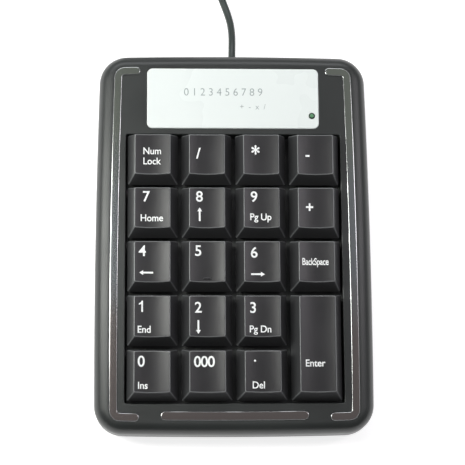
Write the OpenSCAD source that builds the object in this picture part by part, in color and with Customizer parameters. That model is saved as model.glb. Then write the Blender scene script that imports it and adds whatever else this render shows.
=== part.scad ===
// Wired numeric keypad: nineteen full-height keys on a sloping deck,
// a label plate with a status light, chrome trim and a lead with a plug.
//
// X runs to the right, Y to the back and Z up. The origin is on the table
// under the middle of the case. The key deck leans up towards the back, so
// most pieces are drawn flat in the deck's own frame and placed by on_deck().
// In that frame z = 0 is the lower rim of a key at rest and y = 0 is close
// to the middle of the key block.

/* [Case] */
// Width of the case at its widest, mm
case_w = 97.9; // [96:0.1:100]
// Length of the case from front to back, mm
case_l = 135.6; // [135:0.1:137]
// Lean of the key deck, degrees
deck_tilt = 4.5; // [4:0.1:5]
// Height of the deck's own origin above the table, mm
deck_z = 19.6; // [19.4:0.1:21]
// Radius of the rolled shoulder round the top, mm
shoulder_r = 5.3; // [4.5:0.1:5.5]
// Radius of the case's corners, seen from above, mm
corner_r = 10; // [8:0.5:11]
// Wall thickness of both case shells, mm
wall = 2.2; // [2:0.1:2.4]
// Height of the parting line above the table, mm
part_z = 6; // [5.8:0.1:6.2]

/* [Keys] */
// Distance from one key to the next, mm
pitch = 19.05; // [19.05:0.01:19.05]
// Width of a key at its lower rim, mm
cap_w = 17.75; // [17.4:0.05:18]
// Depth of a key at its lower rim, mm
cap_d = 17.9; // [17.5:0.05:18]
// Height of a key from its rim to the edge of its top, mm
cap_h = 7.5; // [7:0.1:8]
// Width of a key's top face, mm
top_w = 12.45; // [12:0.05:13]
// Depth of a key's top face, mm
top_d = 14; // [13.5:0.1:14.5]
// How far the top face sits behind the middle of the key, mm
top_shift = 0.77; // [0.5:0.01:1]
// Depth of the dish across the top face, mm
dish = 0.8; // [0.6:0.05:1]
// How far a key travels, mm
travel = 3.6; // [3:0.1:3.6]
// Diameter of a key's stem, mm
stem_dia = 6; // [5.8:0.1:6.2]
// Gap between a stem and its guide, all round, mm
stem_gap = 0.06; // [0.03:0.01:0.09]

/* [Label plate and trim] */
// Width of the label plate, mm
plate_w = 61.4; // [58:0.1:62]
// Depth of the label plate, mm
plate_d = 22; // [21:0.1:22.4]
// Diameter of the status light's window, mm
window_dia = 2.25; // [2:0.05:2.6]
// Width of the chrome strips at the sides, mm
trim_w = 2.85; // [2.6:0.05:2.9]
// Width of the chrome bar at the front, mm
bar_w = 3.1; // [2.8:0.05:3.2]
// Length of the chrome bar at the front, mm
bar_l = 51.3; // [48:0.1:54]
// How far the chrome stands above the case, mm
trim_rise = 0.3; // [0.1:0.05:0.5]

/* [Lead] */
// Diameter of the lead, mm
lead_dia = 2.7; // [2.7:0.1:2.7]
// Diameter of the coil at the middle of its turns, mm
coil_dia = 30; // [30:0.1:30]

/* [Hidden] */
$fn = 48;
THIN = 0.2;          // thickness of the slices that a hull joins
EPS = 0.02;          // how far a cut runs past the face that it opens
HULL_FN = 32;        // roundness of corners that a hull joins

// Plan of the case in the deck's frame
deck_y = -9.15;
plan_front = -59.15;
plan_rear = 76.9;
side_bow_r = 3200;   // the long sides are very flat arcs
end_bow_r = 1750;    // and so are the front and the back
bow_crown = -18;     // the case is widest here
bow_steps = 6;
bezel_z = 1.5;       // the top face of the case
roof_t = 2.2;
base_t = 2;
floor_z = 3.2;       // inside face of the bottom case
foot_h = 1.2;        // the case stands this far above the table

// Key well, deck frame
well_w = 4 * pitch;
well_front = -48.3;
well_rear = 47;
well_wall = 1.6;
well_z = -4.6;       // floor of the well
deck_t = 1.8;
deck_under = well_z - deck_t;

// Keys, deck frame
key_y0 = -0.35;      // middle row
cap_wall = 1.1;
cap_ceiling = cap_h - dish - 1.3;
dish_r = (top_w * top_w / 4 + dish * dish) / (2 * dish);
stem_bottom = -3.2;
rib_w = 1.8;
rib_out = 0.6;
rib_top = -0.3;
chimney_top = 1;
chimney_dia = 9;

// Layers under the deck, from the top down, deck frame
sheet_top = -8.4;
sheet_t = 0.5;
film_t = 0.15;
film_top = sheet_top - sheet_t;
backing_top = film_top - 3 * film_t;
backing_t = 0.8;
backing_w = 78.4;
backing_front = -49.4;
backing_rear = 48.2;
tail_w = 36;
tail_rear = 57;
dome_dia = 10;
dome_top = stem_bottom - 0.1;
dome_neck_r = 2.8;   // above its neck a dome stands in the stem's guide
dome_neck_z = deck_under - 0.2;

// Enter key's stabiliser, measured from the middle of that key
wire_dia = 1.5;
wire_x = 5.6;        // the long run, held by the key
hook_x = -2.5;       // the two tips, held by the deck, at mid travel
wire_z = 1.2;        // the long run at rest
hook_z = wire_z - travel / 2;
wire_y = 13.5;       // the two arms
tip_l = 3;
wire_bend = 1.2;
arm_l = wire_x - hook_x;
arm_angle = asin(travel / 2 / arm_l);
clip_y = 9.2;
clip_t = 1.6;

// Board, deck frame
board_top = backing_top;
board_t = 1.6;
board_under = board_top - board_t;
board_w = 62;
board_front = 50;
board_rear = 70.4;
board_posts = [[-26, 66], [26, 66], [-22.5, 53.9], [22.5, 53.9]];
header_x = -7;
header_y = 66;
header_pitch = 2.2;
header_h = 5;
chip_x = -18;
crystal_x = 9;
parts_y = 60;        // the chip and the crystal
capacitor_x = 17;
capacitor_dia = 5;
led_x = 28.2;
led_y = 53.9;
plate_y = 60.2;
plate_z = 0.5;       // floor of the label plate's recess
plate_t = 1.1;
plate_r = 2;

// Trim, deck frame
trim_half = 43.55;
trim_front = -54.2;
trim_rear = 71.45;
trim_corner = 3.8;
trim_end = 33.1;     // where the arms of a side strip end
trim_z = 0.7;        // floor of the trim's groove
bar_y = -52.65;
fit_gap = 0.08;

// Fasteners
case_posts = [[42.7, -48], [42.7, 0], [42.7, 44]];
post_dia = 6.4;
feet = [[37, -57], [37, 57]];
foot_dia = 10;
foot_recess = 0.8;
deck_posts_y = [-1.5, -0.5, 0.5, 1.5];
deck_post_dia = 4.4;

// Lead, table frame. The lead leaves the middle of the back, falls to the
// table and runs to a neat coil, and a short tail crosses it to the plug.
lead_r = lead_dia / 2;
lead_x = 0.5;
lead_z = 8.5;
relief_tip = 71.5;
lead_route = [
    [0.5, 61, 8.5], [0.5, 65, 8.5], [0.5, 69, 8.5], [0.5, 73, 8.5],
    [0.6, 77, 7.9], [0.7, 81, 6.6], [0.6, 85, 4.8], [0.2, 89, 3.1],
    [-0.7, 93, 2], [-2, 97, 1.5], [-3.4, 101, 1.4], [-4.8, 105, 1.4],
    [-6.2, 109, 1.4], [-7.6, 113, 1.4], [-9.1, 117, 1.5], [-10.6, 121, 1.7],
    [-12, 124.5, 1.9], [-12.8, 126.6, 1.95]
];
tail_route = [
    [-20.6, 105.1, 10.2], [-17.4, 107, 9.6], [-14.4, 108.7, 8.2],
    [-11.4, 110.2, 6.4], [-8.4, 111.5, 5], [-5, 112.7, 4.2],
    [-1.5, 113.5, 4], [2, 113.9, 4], [5, 114, 4]
];
coil_x = -29.5;
coil_y = 120.5;
coil_pitch = 2.75;   // from one turn to the next
coil_z0 = 0.6;       // the tie lifts the coil this much
coil_cols = 3;
coil_rows = 4;
tie_w = 6;
tie_t = 0.5;
plug_x = 4;          // where the lead enters the plug
plug_y = 114;
plug_z = 4;
plug_nose = 7;
plug_l = 26;
shell_l = 17;

// Keys by name, column, row and height in rows
keys = [
    ["key_num_lock", 0, 0, 1], ["key_divide", 1, 0, 1],
    ["key_multiply", 2, 0, 1], ["key_minus", 3, 0, 1],
    ["key_7", 0, 1, 1], ["key_8", 1, 1, 1], ["key_9", 2, 1, 1], ["key_plus", 3, 1, 1],
    ["key_4", 0, 2, 1], ["key_5", 1, 2, 1], ["key_6", 2, 2, 1], ["key_backspace", 3, 2, 1],
    ["key_1", 0, 3, 1], ["key_2", 1, 3, 1], ["key_3", 2, 3, 1], ["key_enter", 3, 3, 2],
    ["key_0", 0, 4, 1], ["key_000", 1, 4, 1], ["key_decimal", 2, 4, 1]
];
enter = keys[15];

// Where a key stands on the deck
function key_x(k) = (k[1] - 1.5) * pitch;
function key_y(k) = key_y0 + (2 - k[2] - (k[3] - 1) / 2) * pitch;
// How far a long flat arc of radius r falls back at t from its crown
function bow(t, r) = t * t / (2 * r);

// Places a piece that is drawn in the deck's frame
module on_deck() {
    translate([0, deck_y, deck_z]) rotate([deck_tilt, 0, 0]) children();
}

// A copy at each x and its mirror image
module both_sides() {
    children();
    mirror([1, 0, 0]) children();
}

module rounded(w, d, r) {
    offset(r = r) square([w - 2 * r, d - 2 * r], center = true);
}

// Plan with bowed sides and ends and round corners
module plan(half_w, front, rear, corner, crown, inset = 0) {
    side = [for (i = [0:bow_steps]) let (y = front + (rear - front) * i / bow_steps)
        [half_w - bow(y - crown, side_bow_r), y]];
    top = [for (i = [1:bow_steps - 1]) let (x = half_w * (1 - 2 * i / bow_steps))
        [x, rear - bow(x, end_bow_r) + bow(half_w, end_bow_r)]];
    low = [for (i = [bow_steps - 1:-1:1]) let (x = half_w * (1 - 2 * i / bow_steps))
        [x, front + bow(x, end_bow_r) - bow(half_w, end_bow_r)]];
    mirrored = [for (i = [bow_steps:-1:0]) [-side[i][0], side[i][1]]];
    offset(r = corner - inset, $fn = HULL_FN) offset(delta = -corner)
        polygon(concat(side, top, mirrored, low));
}

module deck_slice(z, inset) {
    end = bow(case_w / 2, end_bow_r);
    on_deck() translate([0, 0, z - THIN]) linear_extrude(THIN)
        plan(case_w / 2, plan_front + end, plan_rear - end, corner_r, bow_crown, inset);
}

module table_slice(z, inset, h = THIN) {
    end = bow(case_w / 2, end_bow_r);
    translate([0, 0, z]) linear_extrude(h)
        plan(case_w / 2, end - case_l / 2, case_l / 2 - end, corner_r, bow_crown + deck_y, inset);
}

// Top case -----------------------------------------------------------------

module shell_outside() {
    hull() {
        for (a = [0:22.5:90])
            deck_slice(bezel_z - shoulder_r * (1 - sin(a)), shoulder_r * (1 - cos(a)));
        table_slice(part_z, 0);
    }
}

module shell_inside() {
    hull() {
        deck_slice(bezel_z - roof_t, shoulder_r);
        deck_slice(bezel_z - shoulder_r, wall);
        table_slice(part_z - 1, wall);
    }
}

// Underside of the roof above a point of the table plane
function roof_z(y) = deck_z + (y - deck_y) * tan(deck_tilt) + (bezel_z - roof_t) / cos(deck_tilt);

module case_post_columns() {
    both_sides() for (p = case_posts)
        translate([p[0], p[1], part_z]) cylinder(d = post_dia, h = roof_z(p[1]) + 0.8 - part_z);
}

module well_box() {
    l = well_rear - well_front;
    translate([-well_w / 2 - well_wall, well_front - well_wall, deck_under])
        cube([well_w + 2 * well_wall, l + 2 * well_wall, bezel_z - deck_under - 0.5]);
    // Rim under the deck that holds the dome sheet down
    translate([-backing_w / 2, backing_front, sheet_top]) difference() {
        cube([backing_w, backing_rear - backing_front, deck_under - sheet_top + EPS]);
        translate([2, 2, -EPS])
            cube([backing_w - 4, backing_rear - backing_front - 4, deck_under - sheet_top + 3 * EPS]);
    }
}

module deck_post_places() {
    for (x = [-pitch, pitch]) for (row = deck_posts_y)
        translate([x, key_y0 + row * pitch, 0]) children();
}

module board_post_places() {
    for (p = board_posts) translate([p[0], p[1], 0]) children();
}

// Guides that the stems slide in, each with two keyways
module chimneys() {
    for (k = keys) translate([key_x(k), key_y(k), well_z - EPS])
        cylinder(d = chimney_dia, h = chimney_top - well_z + EPS);
}

module chimney_bores() {
    for (k = keys) translate([key_x(k), key_y(k), 0]) {
        translate([0, 0, deck_under - EPS])
            cylinder(r = stem_dia / 2 + stem_gap, h = chimney_top - deck_under + 2 * EPS);
        keyway_half = stem_dia / 2 + rib_out + 0.1;
        translate([-keyway_half, -rib_w / 2 - 0.1, deck_under - EPS])
            cube([2 * keyway_half, rib_w + 0.2, rib_top + 0.1 - deck_under + EPS]);
    }
}

// Deck hooks for the tips of the enter key's stabiliser
module stabiliser_hooks() {
    back = 1.6;
    hook_y = wire_y - wire_dia / 2 - 0.5;
    slot = wire_dia / 2 + 0.15;
    translate([key_x(enter), key_y(enter), 0]) for (s = [-1, 1]) scale([1, s, 1]) difference() {
        translate([hook_x - slot - back, hook_y - 1.6, well_z - EPS])
            cube([back + 2 * slot + 0.6, 1.6, hook_z + slot + 0.7 - well_z]);
        translate([hook_x - slot - 0.1, hook_y - 2, hook_z - slot])
            cube([5, 3, 2 * slot]);
    }
}

module side_trim_plan(gap = 0) {
    end_x = trim_end + trim_w / 2;
    rise = bow(trim_half, end_bow_r) - bow(end_x, end_bow_r);
    difference() {
        plan(trim_half + gap, trim_front - gap, trim_rear + gap, trim_corner, bow_crown);
        plan(trim_half - gap, trim_front + gap, trim_rear - gap, trim_corner, bow_crown, trim_w);
        translate([-end_x, -case_l]) square([case_w, 2 * case_l]);
    }
    for (s = [-1, 1]) translate([-end_x, (s > 0 ? trim_rear : trim_front) + s * (rise - trim_w / 2)])
        circle(d = trim_w + 2 * gap);
}

module bar_plan(gap = 0) {
    half = bar_l / 2 - bar_w / 2;
    translate([-half, bar_y - bar_w / 2 - gap]) square([2 * half, bar_w + 2 * gap]);
    for (s = [-1, 1]) translate([s * half, bar_y]) circle(d = bar_w + 2 * gap);
}

module top_case() {
    color("#2c2f31") difference() {
        union() {
            difference() {
                shell_outside();
                shell_inside();
            }
            case_post_columns();
            on_deck() {
                well_box();
                deck_post_places() translate([0, 0, backing_top])
                    cylinder(d = deck_post_dia, h = deck_under - backing_top + EPS);
                board_post_places() translate([0, 0, board_top])
                    cylinder(d = 5, h = bezel_z - roof_t - board_top + 0.4);
                // Rib that presses the membranes' tail on the board
                translate([-tail_w / 2, led_y - 0.8, sheet_top + 0.7])
                    cube([tail_w, 1.6, bezel_z - roof_t - sheet_top - 0.3]);
            }
        }
        on_deck() {
            translate([-well_w / 2, well_front, well_z]) difference() {
                cube([well_w, well_rear - well_front, 2 * cap_h]);
                translate([well_w / 2, -well_front, -well_z]) {
                    chimneys();
                    stabiliser_hooks();
                }
            }
            chimney_bores();
            translate([0, plate_y, plate_z]) linear_extrude(2)
                rounded(plate_w + 2 * fit_gap, plate_d + 2 * fit_gap, plate_r);
            translate([led_x, led_y, -2]) cylinder(d = window_dia + 0.1, h = 4);
            both_sides() translate([0, 0, trim_z]) linear_extrude(2) side_trim_plan(fit_gap);
            translate([0, 0, trim_z]) linear_extrude(2) bar_plan(fit_gap);
            deck_post_places() translate([0, 0, backing_top - EPS]) cylinder(d = 2, h = 3.6);
            board_post_places() translate([0, 0, board_top - EPS]) cylinder(d = 2, h = 6);
        }
        both_sides() for (p = case_posts) translate([p[0], p[1], part_z - EPS])
            cylinder(d = 2.5, h = 8);
        // Notch for the strain relief
        translate([lead_x, case_l / 2 - 6, lead_z]) rotate([-90, 0, 0]) cylinder(r = 2.6, h = 8);
        translate([lead_x - 2.6, case_l / 2 - 6, part_z - 1]) cube([5.2, 8, lead_z - part_z + 1]);
    }
}

// Bottom case --------------------------------------------------------------

module bottom_case() {
    color("#26292b") difference() {
        union() {
            difference() {
                hull() {
                    table_slice(foot_h, 2.4);
                    table_slice(foot_h + 1.2, 1);
                    table_slice(part_z - THIN, 0.25);
                }
                hull() {
                    table_slice(floor_z, 3.2);
                    table_slice(part_z, wall + 0.25);
                }
            }
            // Tongue that stands inside the top case
            difference() {
                table_slice(part_z - 1, wall + 0.1, 2.4);
                table_slice(part_z - 2, wall + 1.3, 4);
                both_sides() for (p = case_posts) translate([p[0], p[1], part_z - EPS])
                    cylinder(d = post_dia + 0.6, h = 3);
                translate([lead_x - 5, case_l / 2 - 10, part_z - EPS]) cube([10, 12, 4]);
            }
            both_sides() for (p = case_posts) translate([p[0], p[1], foot_h + 0.5])
                cylinder(d = post_dia, h = part_z - foot_h - 0.5);
        }
        both_sides() for (p = case_posts) translate([p[0], p[1], 0]) {
            cylinder(d = 2.9, h = part_z + 1);
            cylinder(d = 5.6, h = 3.4);
        }
        both_sides() for (p = feet) translate([p[0], p[1], 0])
            cylinder(d = foot_dia + 0.2, h = foot_h + foot_recess);
    }
}

module rubber_feet() {
    color("#1b1b1b") both_sides() for (p = feet) translate([p[0], p[1], 0]) rotate_extrude()
        polygon([[0, 0], [foot_dia / 2 - 0.6, 0], [foot_dia / 2, 0.6],
                 [foot_dia / 2, foot_h + foot_recess], [0, foot_h + foot_recess]]);
}

// Self-tapping screw standing head down, with a cross recess
module screw(head_dia, head_h, shank_dia, shank_l) {
    difference() {
        cylinder(d = head_dia, h = head_h);
        for (a = [0, 90]) rotate(a) translate([-head_dia * 0.3, -0.3, -EPS])
            cube([head_dia * 0.6, 0.6, head_h * 0.5]);
    }
    translate([0, 0, head_h - EPS]) cylinder(d = shank_dia, h = shank_l);
}

module case_screws() {
    color("#8f9296") both_sides() for (p = case_posts) translate([p[0], p[1], 1.9])
        screw(5, 1.5, 2.4, 9);
}

module plate_screws() {
    color("#9a9da1") on_deck() deck_post_places()
        translate([0, 0, backing_top - backing_t - 1.3]) screw(4, 1.3, 1.9, 3.8);
}

module board_screws() {
    color("#9a9da1") on_deck() board_post_places()
        translate([0, 0, board_under - 1.3]) screw(4, 1.3, 1.9, 6);
}

// Label plate, window and trim ----------------------------------------------

module label_plate() {
    color("#eef1f0") on_deck() difference() {
        translate([0, plate_y, plate_z]) linear_extrude(plate_t) rounded(plate_w, plate_d, plate_r);
        translate([led_x, led_y, 0]) cylinder(d = window_dia + 0.05, h = 4);
    }
}

module status_window() {
    color("#1f3328") on_deck() translate([led_x, led_y, 0]) {
        translate([0, 0, bezel_z - roof_t]) cylinder(d = window_dia, h = plate_z + plate_t - bezel_z + roof_t);
        translate([0, 0, bezel_z - roof_t - 0.5]) cylinder(d = 3.4, h = 0.5);
    }
}

module left_trim() {
    color("#8d908c") on_deck() translate([0, 0, trim_z])
        linear_extrude(bezel_z - trim_z + trim_rise) side_trim_plan();
}

module right_trim() {
    color("#8d908c") on_deck() mirror([1, 0, 0]) translate([0, 0, trim_z])
        linear_extrude(bezel_z - trim_z + trim_rise) side_trim_plan();
}

module front_trim() {
    color("#77706a") on_deck() translate([0, 0, trim_z])
        linear_extrude(bezel_z - trim_z + trim_rise) bar_plan();
}

// Keys ------------------------------------------------------------------------

// Frustum with round corners between a rim and a top face
module frustum(w, d, top_width, top_depth, h, shift, r) {
    hull() {
        linear_extrude(0.4) rounded(w, d, r, $fn = 16);
        translate([0, shift, h - 0.2]) linear_extrude(0.2) rounded(top_width, top_depth, r, $fn = 16);
    }
}

module keycap(k) {
    extra = (k[3] - 1) * pitch;
    inner_k = cap_ceiling / cap_h;
    inner_w = cap_w + (top_w - cap_w) * inner_k - 2 * cap_wall;
    inner_d = cap_d + (top_d - cap_d) * inner_k - 2 * cap_wall + extra;
    difference() {
        frustum(cap_w, cap_d + extra, top_w, top_d + extra, cap_h, top_shift, 0.8);
        hull() {
            translate([0, 0, -EPS]) linear_extrude(THIN)
                square([cap_w - 2 * cap_wall, cap_d - 2 * cap_wall + extra], center = true);
            translate([0, top_shift * inner_k, cap_ceiling - THIN]) linear_extrude(THIN)
                square([inner_w, inner_d], center = true);
        }
        translate([0, 0, cap_h - dish + dish_r]) rotate([90, 0, 0])
            cylinder(r = dish_r, h = 3 * pitch, center = true, $fn = 96);
    }
    translate([0, 0, stem_bottom]) cylinder(d = stem_dia, h = cap_ceiling - stem_bottom + 0.3);
    rib_half = stem_dia / 2 + rib_out;
    translate([-rib_half, -rib_w / 2, stem_bottom]) cube([2 * rib_half, rib_w, rib_top - stem_bottom]);
    if (k[0] == "key_5") homing_bar();
    if (k[3] > 1) stabiliser_clips();
}

// Small ridge that marks the middle key
module homing_bar() {
    bar = 2.7;
    translate([-bar / 2, top_shift - top_d / 2 + 0.7, cap_h - dish - 0.3]) cube([bar, 0.7, 0.65]);
}

// Two clips inside the key that the stabiliser's long run turns in
module stabiliser_clips() {
    for (s = [-1, 1]) translate([wire_x, s * clip_y, wire_z]) difference() {
        translate([-1.35, -clip_t / 2, -1.15]) cube([2.4, clip_t, cap_ceiling - wire_z + 1.4]);
        rotate([90, 0, 0]) cylinder(d = wire_dia + 0.1, h = 2 * clip_t, center = true);
        translate([-0.55, -clip_t, -2]) cube([1.1, 2 * clip_t, 2]);
    }
}

module key_at(k) {
    color("#34373a") on_deck() translate([key_x(k), key_y(k), 0]) keycap(k);
}

// Bent steel wire: a long run, two arms and two tips turned inwards, all in one plane
module enter_stabiliser() {
    r = wire_bend;
    color("#b9bcc0") on_deck() translate([key_x(enter) + wire_x, key_y(enter), wire_z])
        rotate([0, -arm_angle, 0]) {
            rotate([90, 0, 0]) cylinder(d = wire_dia, h = 2 * (wire_y - r), center = true);
            for (s = [0, 1]) mirror([0, s, 0]) {
                translate([-r, wire_y - r, 0]) elbow(0);
                translate([-r, wire_y, 0]) rotate([0, -90, 0]) cylinder(d = wire_dia, h = arm_l - 2 * r);
                translate([r - arm_l, wire_y - r, 0]) elbow(90);
                translate([-arm_l, wire_y - tip_l, 0]) rotate([-90, 0, 0])
                    cylinder(d = wire_dia, h = tip_l - r);
            }
        }
}

module elbow(turn) {
    rotate(turn) rotate_extrude(angle = 90) translate([wire_bend, 0]) circle(d = wire_dia);
}

// Rubber, films and backing -----------------------------------------------------

module layer_plan(rear, with_tail) {
    translate([-backing_w / 2, backing_front]) square([backing_w, rear - backing_front]);
    if (with_tail) translate([-tail_w / 2, rear - 1]) square([tail_w, tail_rear - rear + 1]);
}

module layer(z, t, with_tail) {
    difference() {
        translate([0, 0, z]) linear_extrude(t) layer_plan(backing_rear, with_tail);
        deck_post_places() translate([0, 0, z - 1]) cylinder(d = deck_post_dia + 0.4, h = t + 2);
    }
}

// One silicone sheet with a dome under each stem
module dome_sheet() {
    base = sheet_top - sheet_t;
    color("#d9d6cc") on_deck() difference() {
        union() {
            layer(base, sheet_t, false);
            for (k = keys) translate([key_x(k), key_y(k), 0]) rotate_extrude()
                polygon([[0, base], [dome_dia / 2, base], [dome_dia / 2, sheet_top],
                         [dome_neck_r, dome_neck_z], [2.4, dome_top], [0, dome_top]]);
        }
        for (k = keys) translate([key_x(k), key_y(k), 0]) rotate_extrude()
            polygon([[0, base - EPS], [dome_dia / 2 - 0.7, base - EPS],
                     [dome_neck_r - 0.6, dome_neck_z - 0.4], [1.6, dome_neck_z], [0, dome_neck_z]]);
    }
}

module upper_membrane() {
    color("#c9d3cf") on_deck() layer(film_top - film_t, film_t, true);
}

// The spacer has a hole at every contact
module membrane_spacer() {
    z = film_top - 2 * film_t;
    color("#dfe3e0") on_deck() difference() {
        layer(z, film_t, true);
        for (k = keys) translate([key_x(k), key_y(k), z - 1]) cylinder(d = 5, h = 2);
    }
}

module lower_membrane() {
    color("#c9d3cf") on_deck() layer(film_top - 3 * film_t, film_t, true);
}

module backing_plate() {
    color("#a6a9ac") on_deck() difference() {
        translate([0, 0, backing_top - backing_t]) linear_extrude(backing_t)
            layer_plan(backing_rear, false);
        deck_post_places() translate([0, 0, backing_top - 2]) cylinder(d = 2.2, h = 3);
    }
}

// Board --------------------------------------------------------------------------

module controller_board() {
    color("#2e6b46") on_deck() difference() {
        translate([-board_w / 2, board_front, board_under])
            cube([board_w, board_rear - board_front, board_t]);
        board_post_places() translate([0, 0, board_under - 1]) cylinder(d = 2.2, h = 4);
        for (s = [-1, 1]) translate([led_x + s * 1.27, led_y, board_under - 1])
            cylinder(d = 0.9, h = 4);
    }
}

// Drop of epoxy over the bonded chip, a cap of a ball
module controller_chip() {
    cap = 1.8;
    ball = 6.5;
    color("#151515") on_deck() translate([chip_x, parts_y, board_under]) intersection() {
        translate([0, 0, ball - cap]) sphere(r = ball, $fn = 64);
        translate([-ball, -ball, -cap]) cube([2 * ball, 2 * ball, cap]);
    }
}

module crystal() {
    half = 3.2;
    can_w = 4.6;
    can_h = 3.6;
    color("#c3c5c7") on_deck() translate([crystal_x, parts_y, board_under - can_h]) {
        translate([-half, -can_w / 2, 0]) cube([2 * half, can_w, can_h]);
        for (s = [-1, 1]) translate([s * half, 0, 0]) cylinder(d = can_w, h = can_h);
    }
}

module capacitor() {
    color("#2b3550") on_deck()
        translate([capacitor_x, header_y, board_under - capacitor_dia / 2]) rotate([0, 90, 0])
            cylinder(d = capacitor_dia, h = 7, center = true);
}

module wire_header() {
    w = 4 * header_pitch + 1.7;
    d = 5.6;
    color("#e9e6da") on_deck() translate([header_x, header_y, board_under - header_h]) difference() {
        translate([-w / 2, -d / 2, 0]) cube([w, d, header_h]);
        for (i = [0:3]) translate([(i - 1.5) * header_pitch, 0, -EPS]) cylinder(d = 1.2, h = 2.6);
    }
}

module status_led() {
    body = board_top + 2.2;
    color("#7fae8c") on_deck() translate([led_x, led_y, 0]) {
        translate([0, 0, body]) cylinder(d = 3.8, h = 1);
        translate([0, 0, body + 1 - EPS]) cylinder(d = 3, h = 2.8);
        translate([0, 0, body + 3.75]) sphere(d = 3);
        for (s = [-1, 1]) translate([s * 1.27 - 0.22, -0.22, board_under - 1])
            cube([0.44, 0.44, body - board_under + 1 + EPS]);
    }
}

module pressure_strip() {
    color("#3b3b3b") on_deck() translate([-tail_w / 2, led_y - 2, film_top])
        cube([tail_w, 4, sheet_top + 0.7 - film_top]);
}

// Lead ---------------------------------------------------------------------------

// Unit vector along a route at point i
function along(route, i) =
    let (a = route[max(i - 1, 0)], b = route[min(i + 1, len(route) - 1)], v = b - a) v / norm(v);

// Tube of radius r swept along a route that never runs along the vector up
module tube(route, r, up = [0, 0, 1], sides = 8) {
    n = len(route);
    rings = [for (i = [0:n - 1]) let (
            t = along(route, i),
            u = cross(up, t) / norm(cross(up, t)),
            v = cross(t, u))
        for (s = [0:sides - 1]) let (a = 360 * s / sides) route[i] + r * (u * cos(a) + v * sin(a))];
    walls = [for (i = [0:n - 2]) for (s = [0:sides - 1]) let (s2 = (s + 1) % sides)
        [i * sides + s, (i + 1) * sides + s, (i + 1) * sides + s2, i * sides + s2]];
    first = [for (s = [0:sides - 1]) s];
    last = [for (s = [sides - 1:-1:0]) (n - 1) * sides + s];
    polyhedron(points = rings, faces = concat([first], walls, [last]), convexity = 6);
}

module lead() {
    color("#3a4340") tube(lead_route, lead_r);
}

module plug_tail() {
    color("#3a4340") tube(tail_route, lead_r);
}

// The coil's outer shape: three turns side by side, four high
module lead_coil() {
    half_w = (coil_cols - 1) * coil_pitch / 2 + lead_r;
    h = (coil_rows - 1) * coil_pitch + lead_dia;
    mid = coil_dia / 2;
    c = 1;
    color("#333b38") translate([coil_x, coil_y, coil_z0]) rotate_extrude($fn = 64)
        polygon([[mid - half_w + c, 0], [mid + half_w - c, 0], [mid + half_w, c],
                 [mid + half_w, h - c], [mid + half_w - c, h], [mid - half_w + c, h],
                 [mid - half_w, h - c], [mid - half_w, c]]);
}

// Band round the coil's turns, on its far left
module coil_tie() {
    half_w = (coil_cols - 1) * coil_pitch / 2 + lead_r + 0.05;
    h = (coil_rows - 1) * coil_pitch + lead_dia + 0.1;
    color("#181818") translate([coil_x, coil_y, 0]) rotate(165)
        translate([coil_dia / 2, 0, coil_z0 - 0.05]) difference() {
            translate([-half_w - tie_t, -tie_w / 2, -tie_t])
                cube([2 * (half_w + tie_t), tie_w, h + 2 * tie_t]);
            // The band's openings follow the coil's round walls
            translate([-coil_dia / 2, 0, 0]) difference() {
                cylinder(r = coil_dia / 2 + half_w, h = h);
                translate([0, 0, -1]) cylinder(r = coil_dia / 2 - half_w, h = h + 2);
            }
        }
}

// Grommet in the back wall with a short taper outside
module strain_relief() {
    back = case_l / 2;
    color("#222423") difference() {
        union() {
            difference() {
                translate([lead_x, back - wall - 1.6, lead_z]) rotate([-90, 0, 0])
                    cylinder(d = 8, h = 1.5);
                translate([lead_x - 5, back - wall - 2, 0]) cube([10, 3, part_z + 0.05]);
            }
            translate([lead_x, back - wall - 0.5, lead_z]) rotate([-90, 0, 0])
                cylinder(d = 4.9, h = wall + 1);
            translate([lead_x - 2.45, back - wall - 0.1, part_z + 0.05])
                cube([4.9, wall + 0.1, lead_z - part_z]);
            translate([lead_x, back + 0.05, lead_z]) rotate([-90, 0, 0])
                cylinder(d1 = 6.2, d2 = 4.2, h = relief_tip - back - 0.05);
        }
        translate([lead_x, back - 10, lead_z]) rotate([-90, 0, 0]) cylinder(d = lead_dia + 0.1, h = 20);
    }
}

// Four thin wires from the end of the jacket to the header
module lead_wires() {
    color("#b8452f") for (i = [0:3]) {
        x = lead_x + (i - 1.5) * 0.62;
        hx = header_x + (i - 1.5) * header_pitch;
        low = 4.8 + 0.9 * i;
        tube([[x, 60.9, 8.5], [x - 0.3, 59.8, 8.2], [x - 1, 58.8, 0.4 * low + 5],
              [(x + hx) / 2, 58, low + 0.4], [hx + 1, 57.9, low], [hx + 0.3, 57.95, low + 0.3],
              [hx, 57.95, low + 1], [hx, 57.87, 9.8]], 0.28, [1, -1, 1]);
    }
}

// Plug, lying flat along X with its nose at plug_x ---------------------------------

module plug_body() {
    color("#2a2d2c") translate([plug_x, plug_y, plug_z]) {
        difference() {
            union() {
                rotate([0, 90, 0]) cylinder(d1 = 4.4, d2 = 6.4, h = plug_nose + 0.5);
                hull() {
                    translate([plug_nose, 0, 0]) rotate([90, 0, 90]) linear_extrude(0.4)
                        rounded(10, 6.6, 2.4, $fn = HULL_FN);
                    translate([plug_nose + 4, 0, 0]) rotate([90, 0, 90]) linear_extrude(0.4)
                        rounded(15, 8, 2.4, $fn = HULL_FN);
                    translate([plug_l - 1, 0, 0]) rotate([90, 0, 90]) linear_extrude(0.4)
                        rounded(15.6, 8, 2.4, $fn = HULL_FN);
                    translate([plug_l - 0.3, 0, 0]) rotate([90, 0, 90]) linear_extrude(0.3)
                        rounded(14.6, 7, 2, $fn = HULL_FN);
                }
            }
            translate([-EPS, 0, 0]) rotate([0, 90, 0]) cylinder(d = lead_dia + 0.1, h = 4);
            // Pocket that the metal shell is set in
            translate([plug_l - 6, -6.05, -2.3]) cube([7, 12.1, 4.6]);
        }
    }
}

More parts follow.
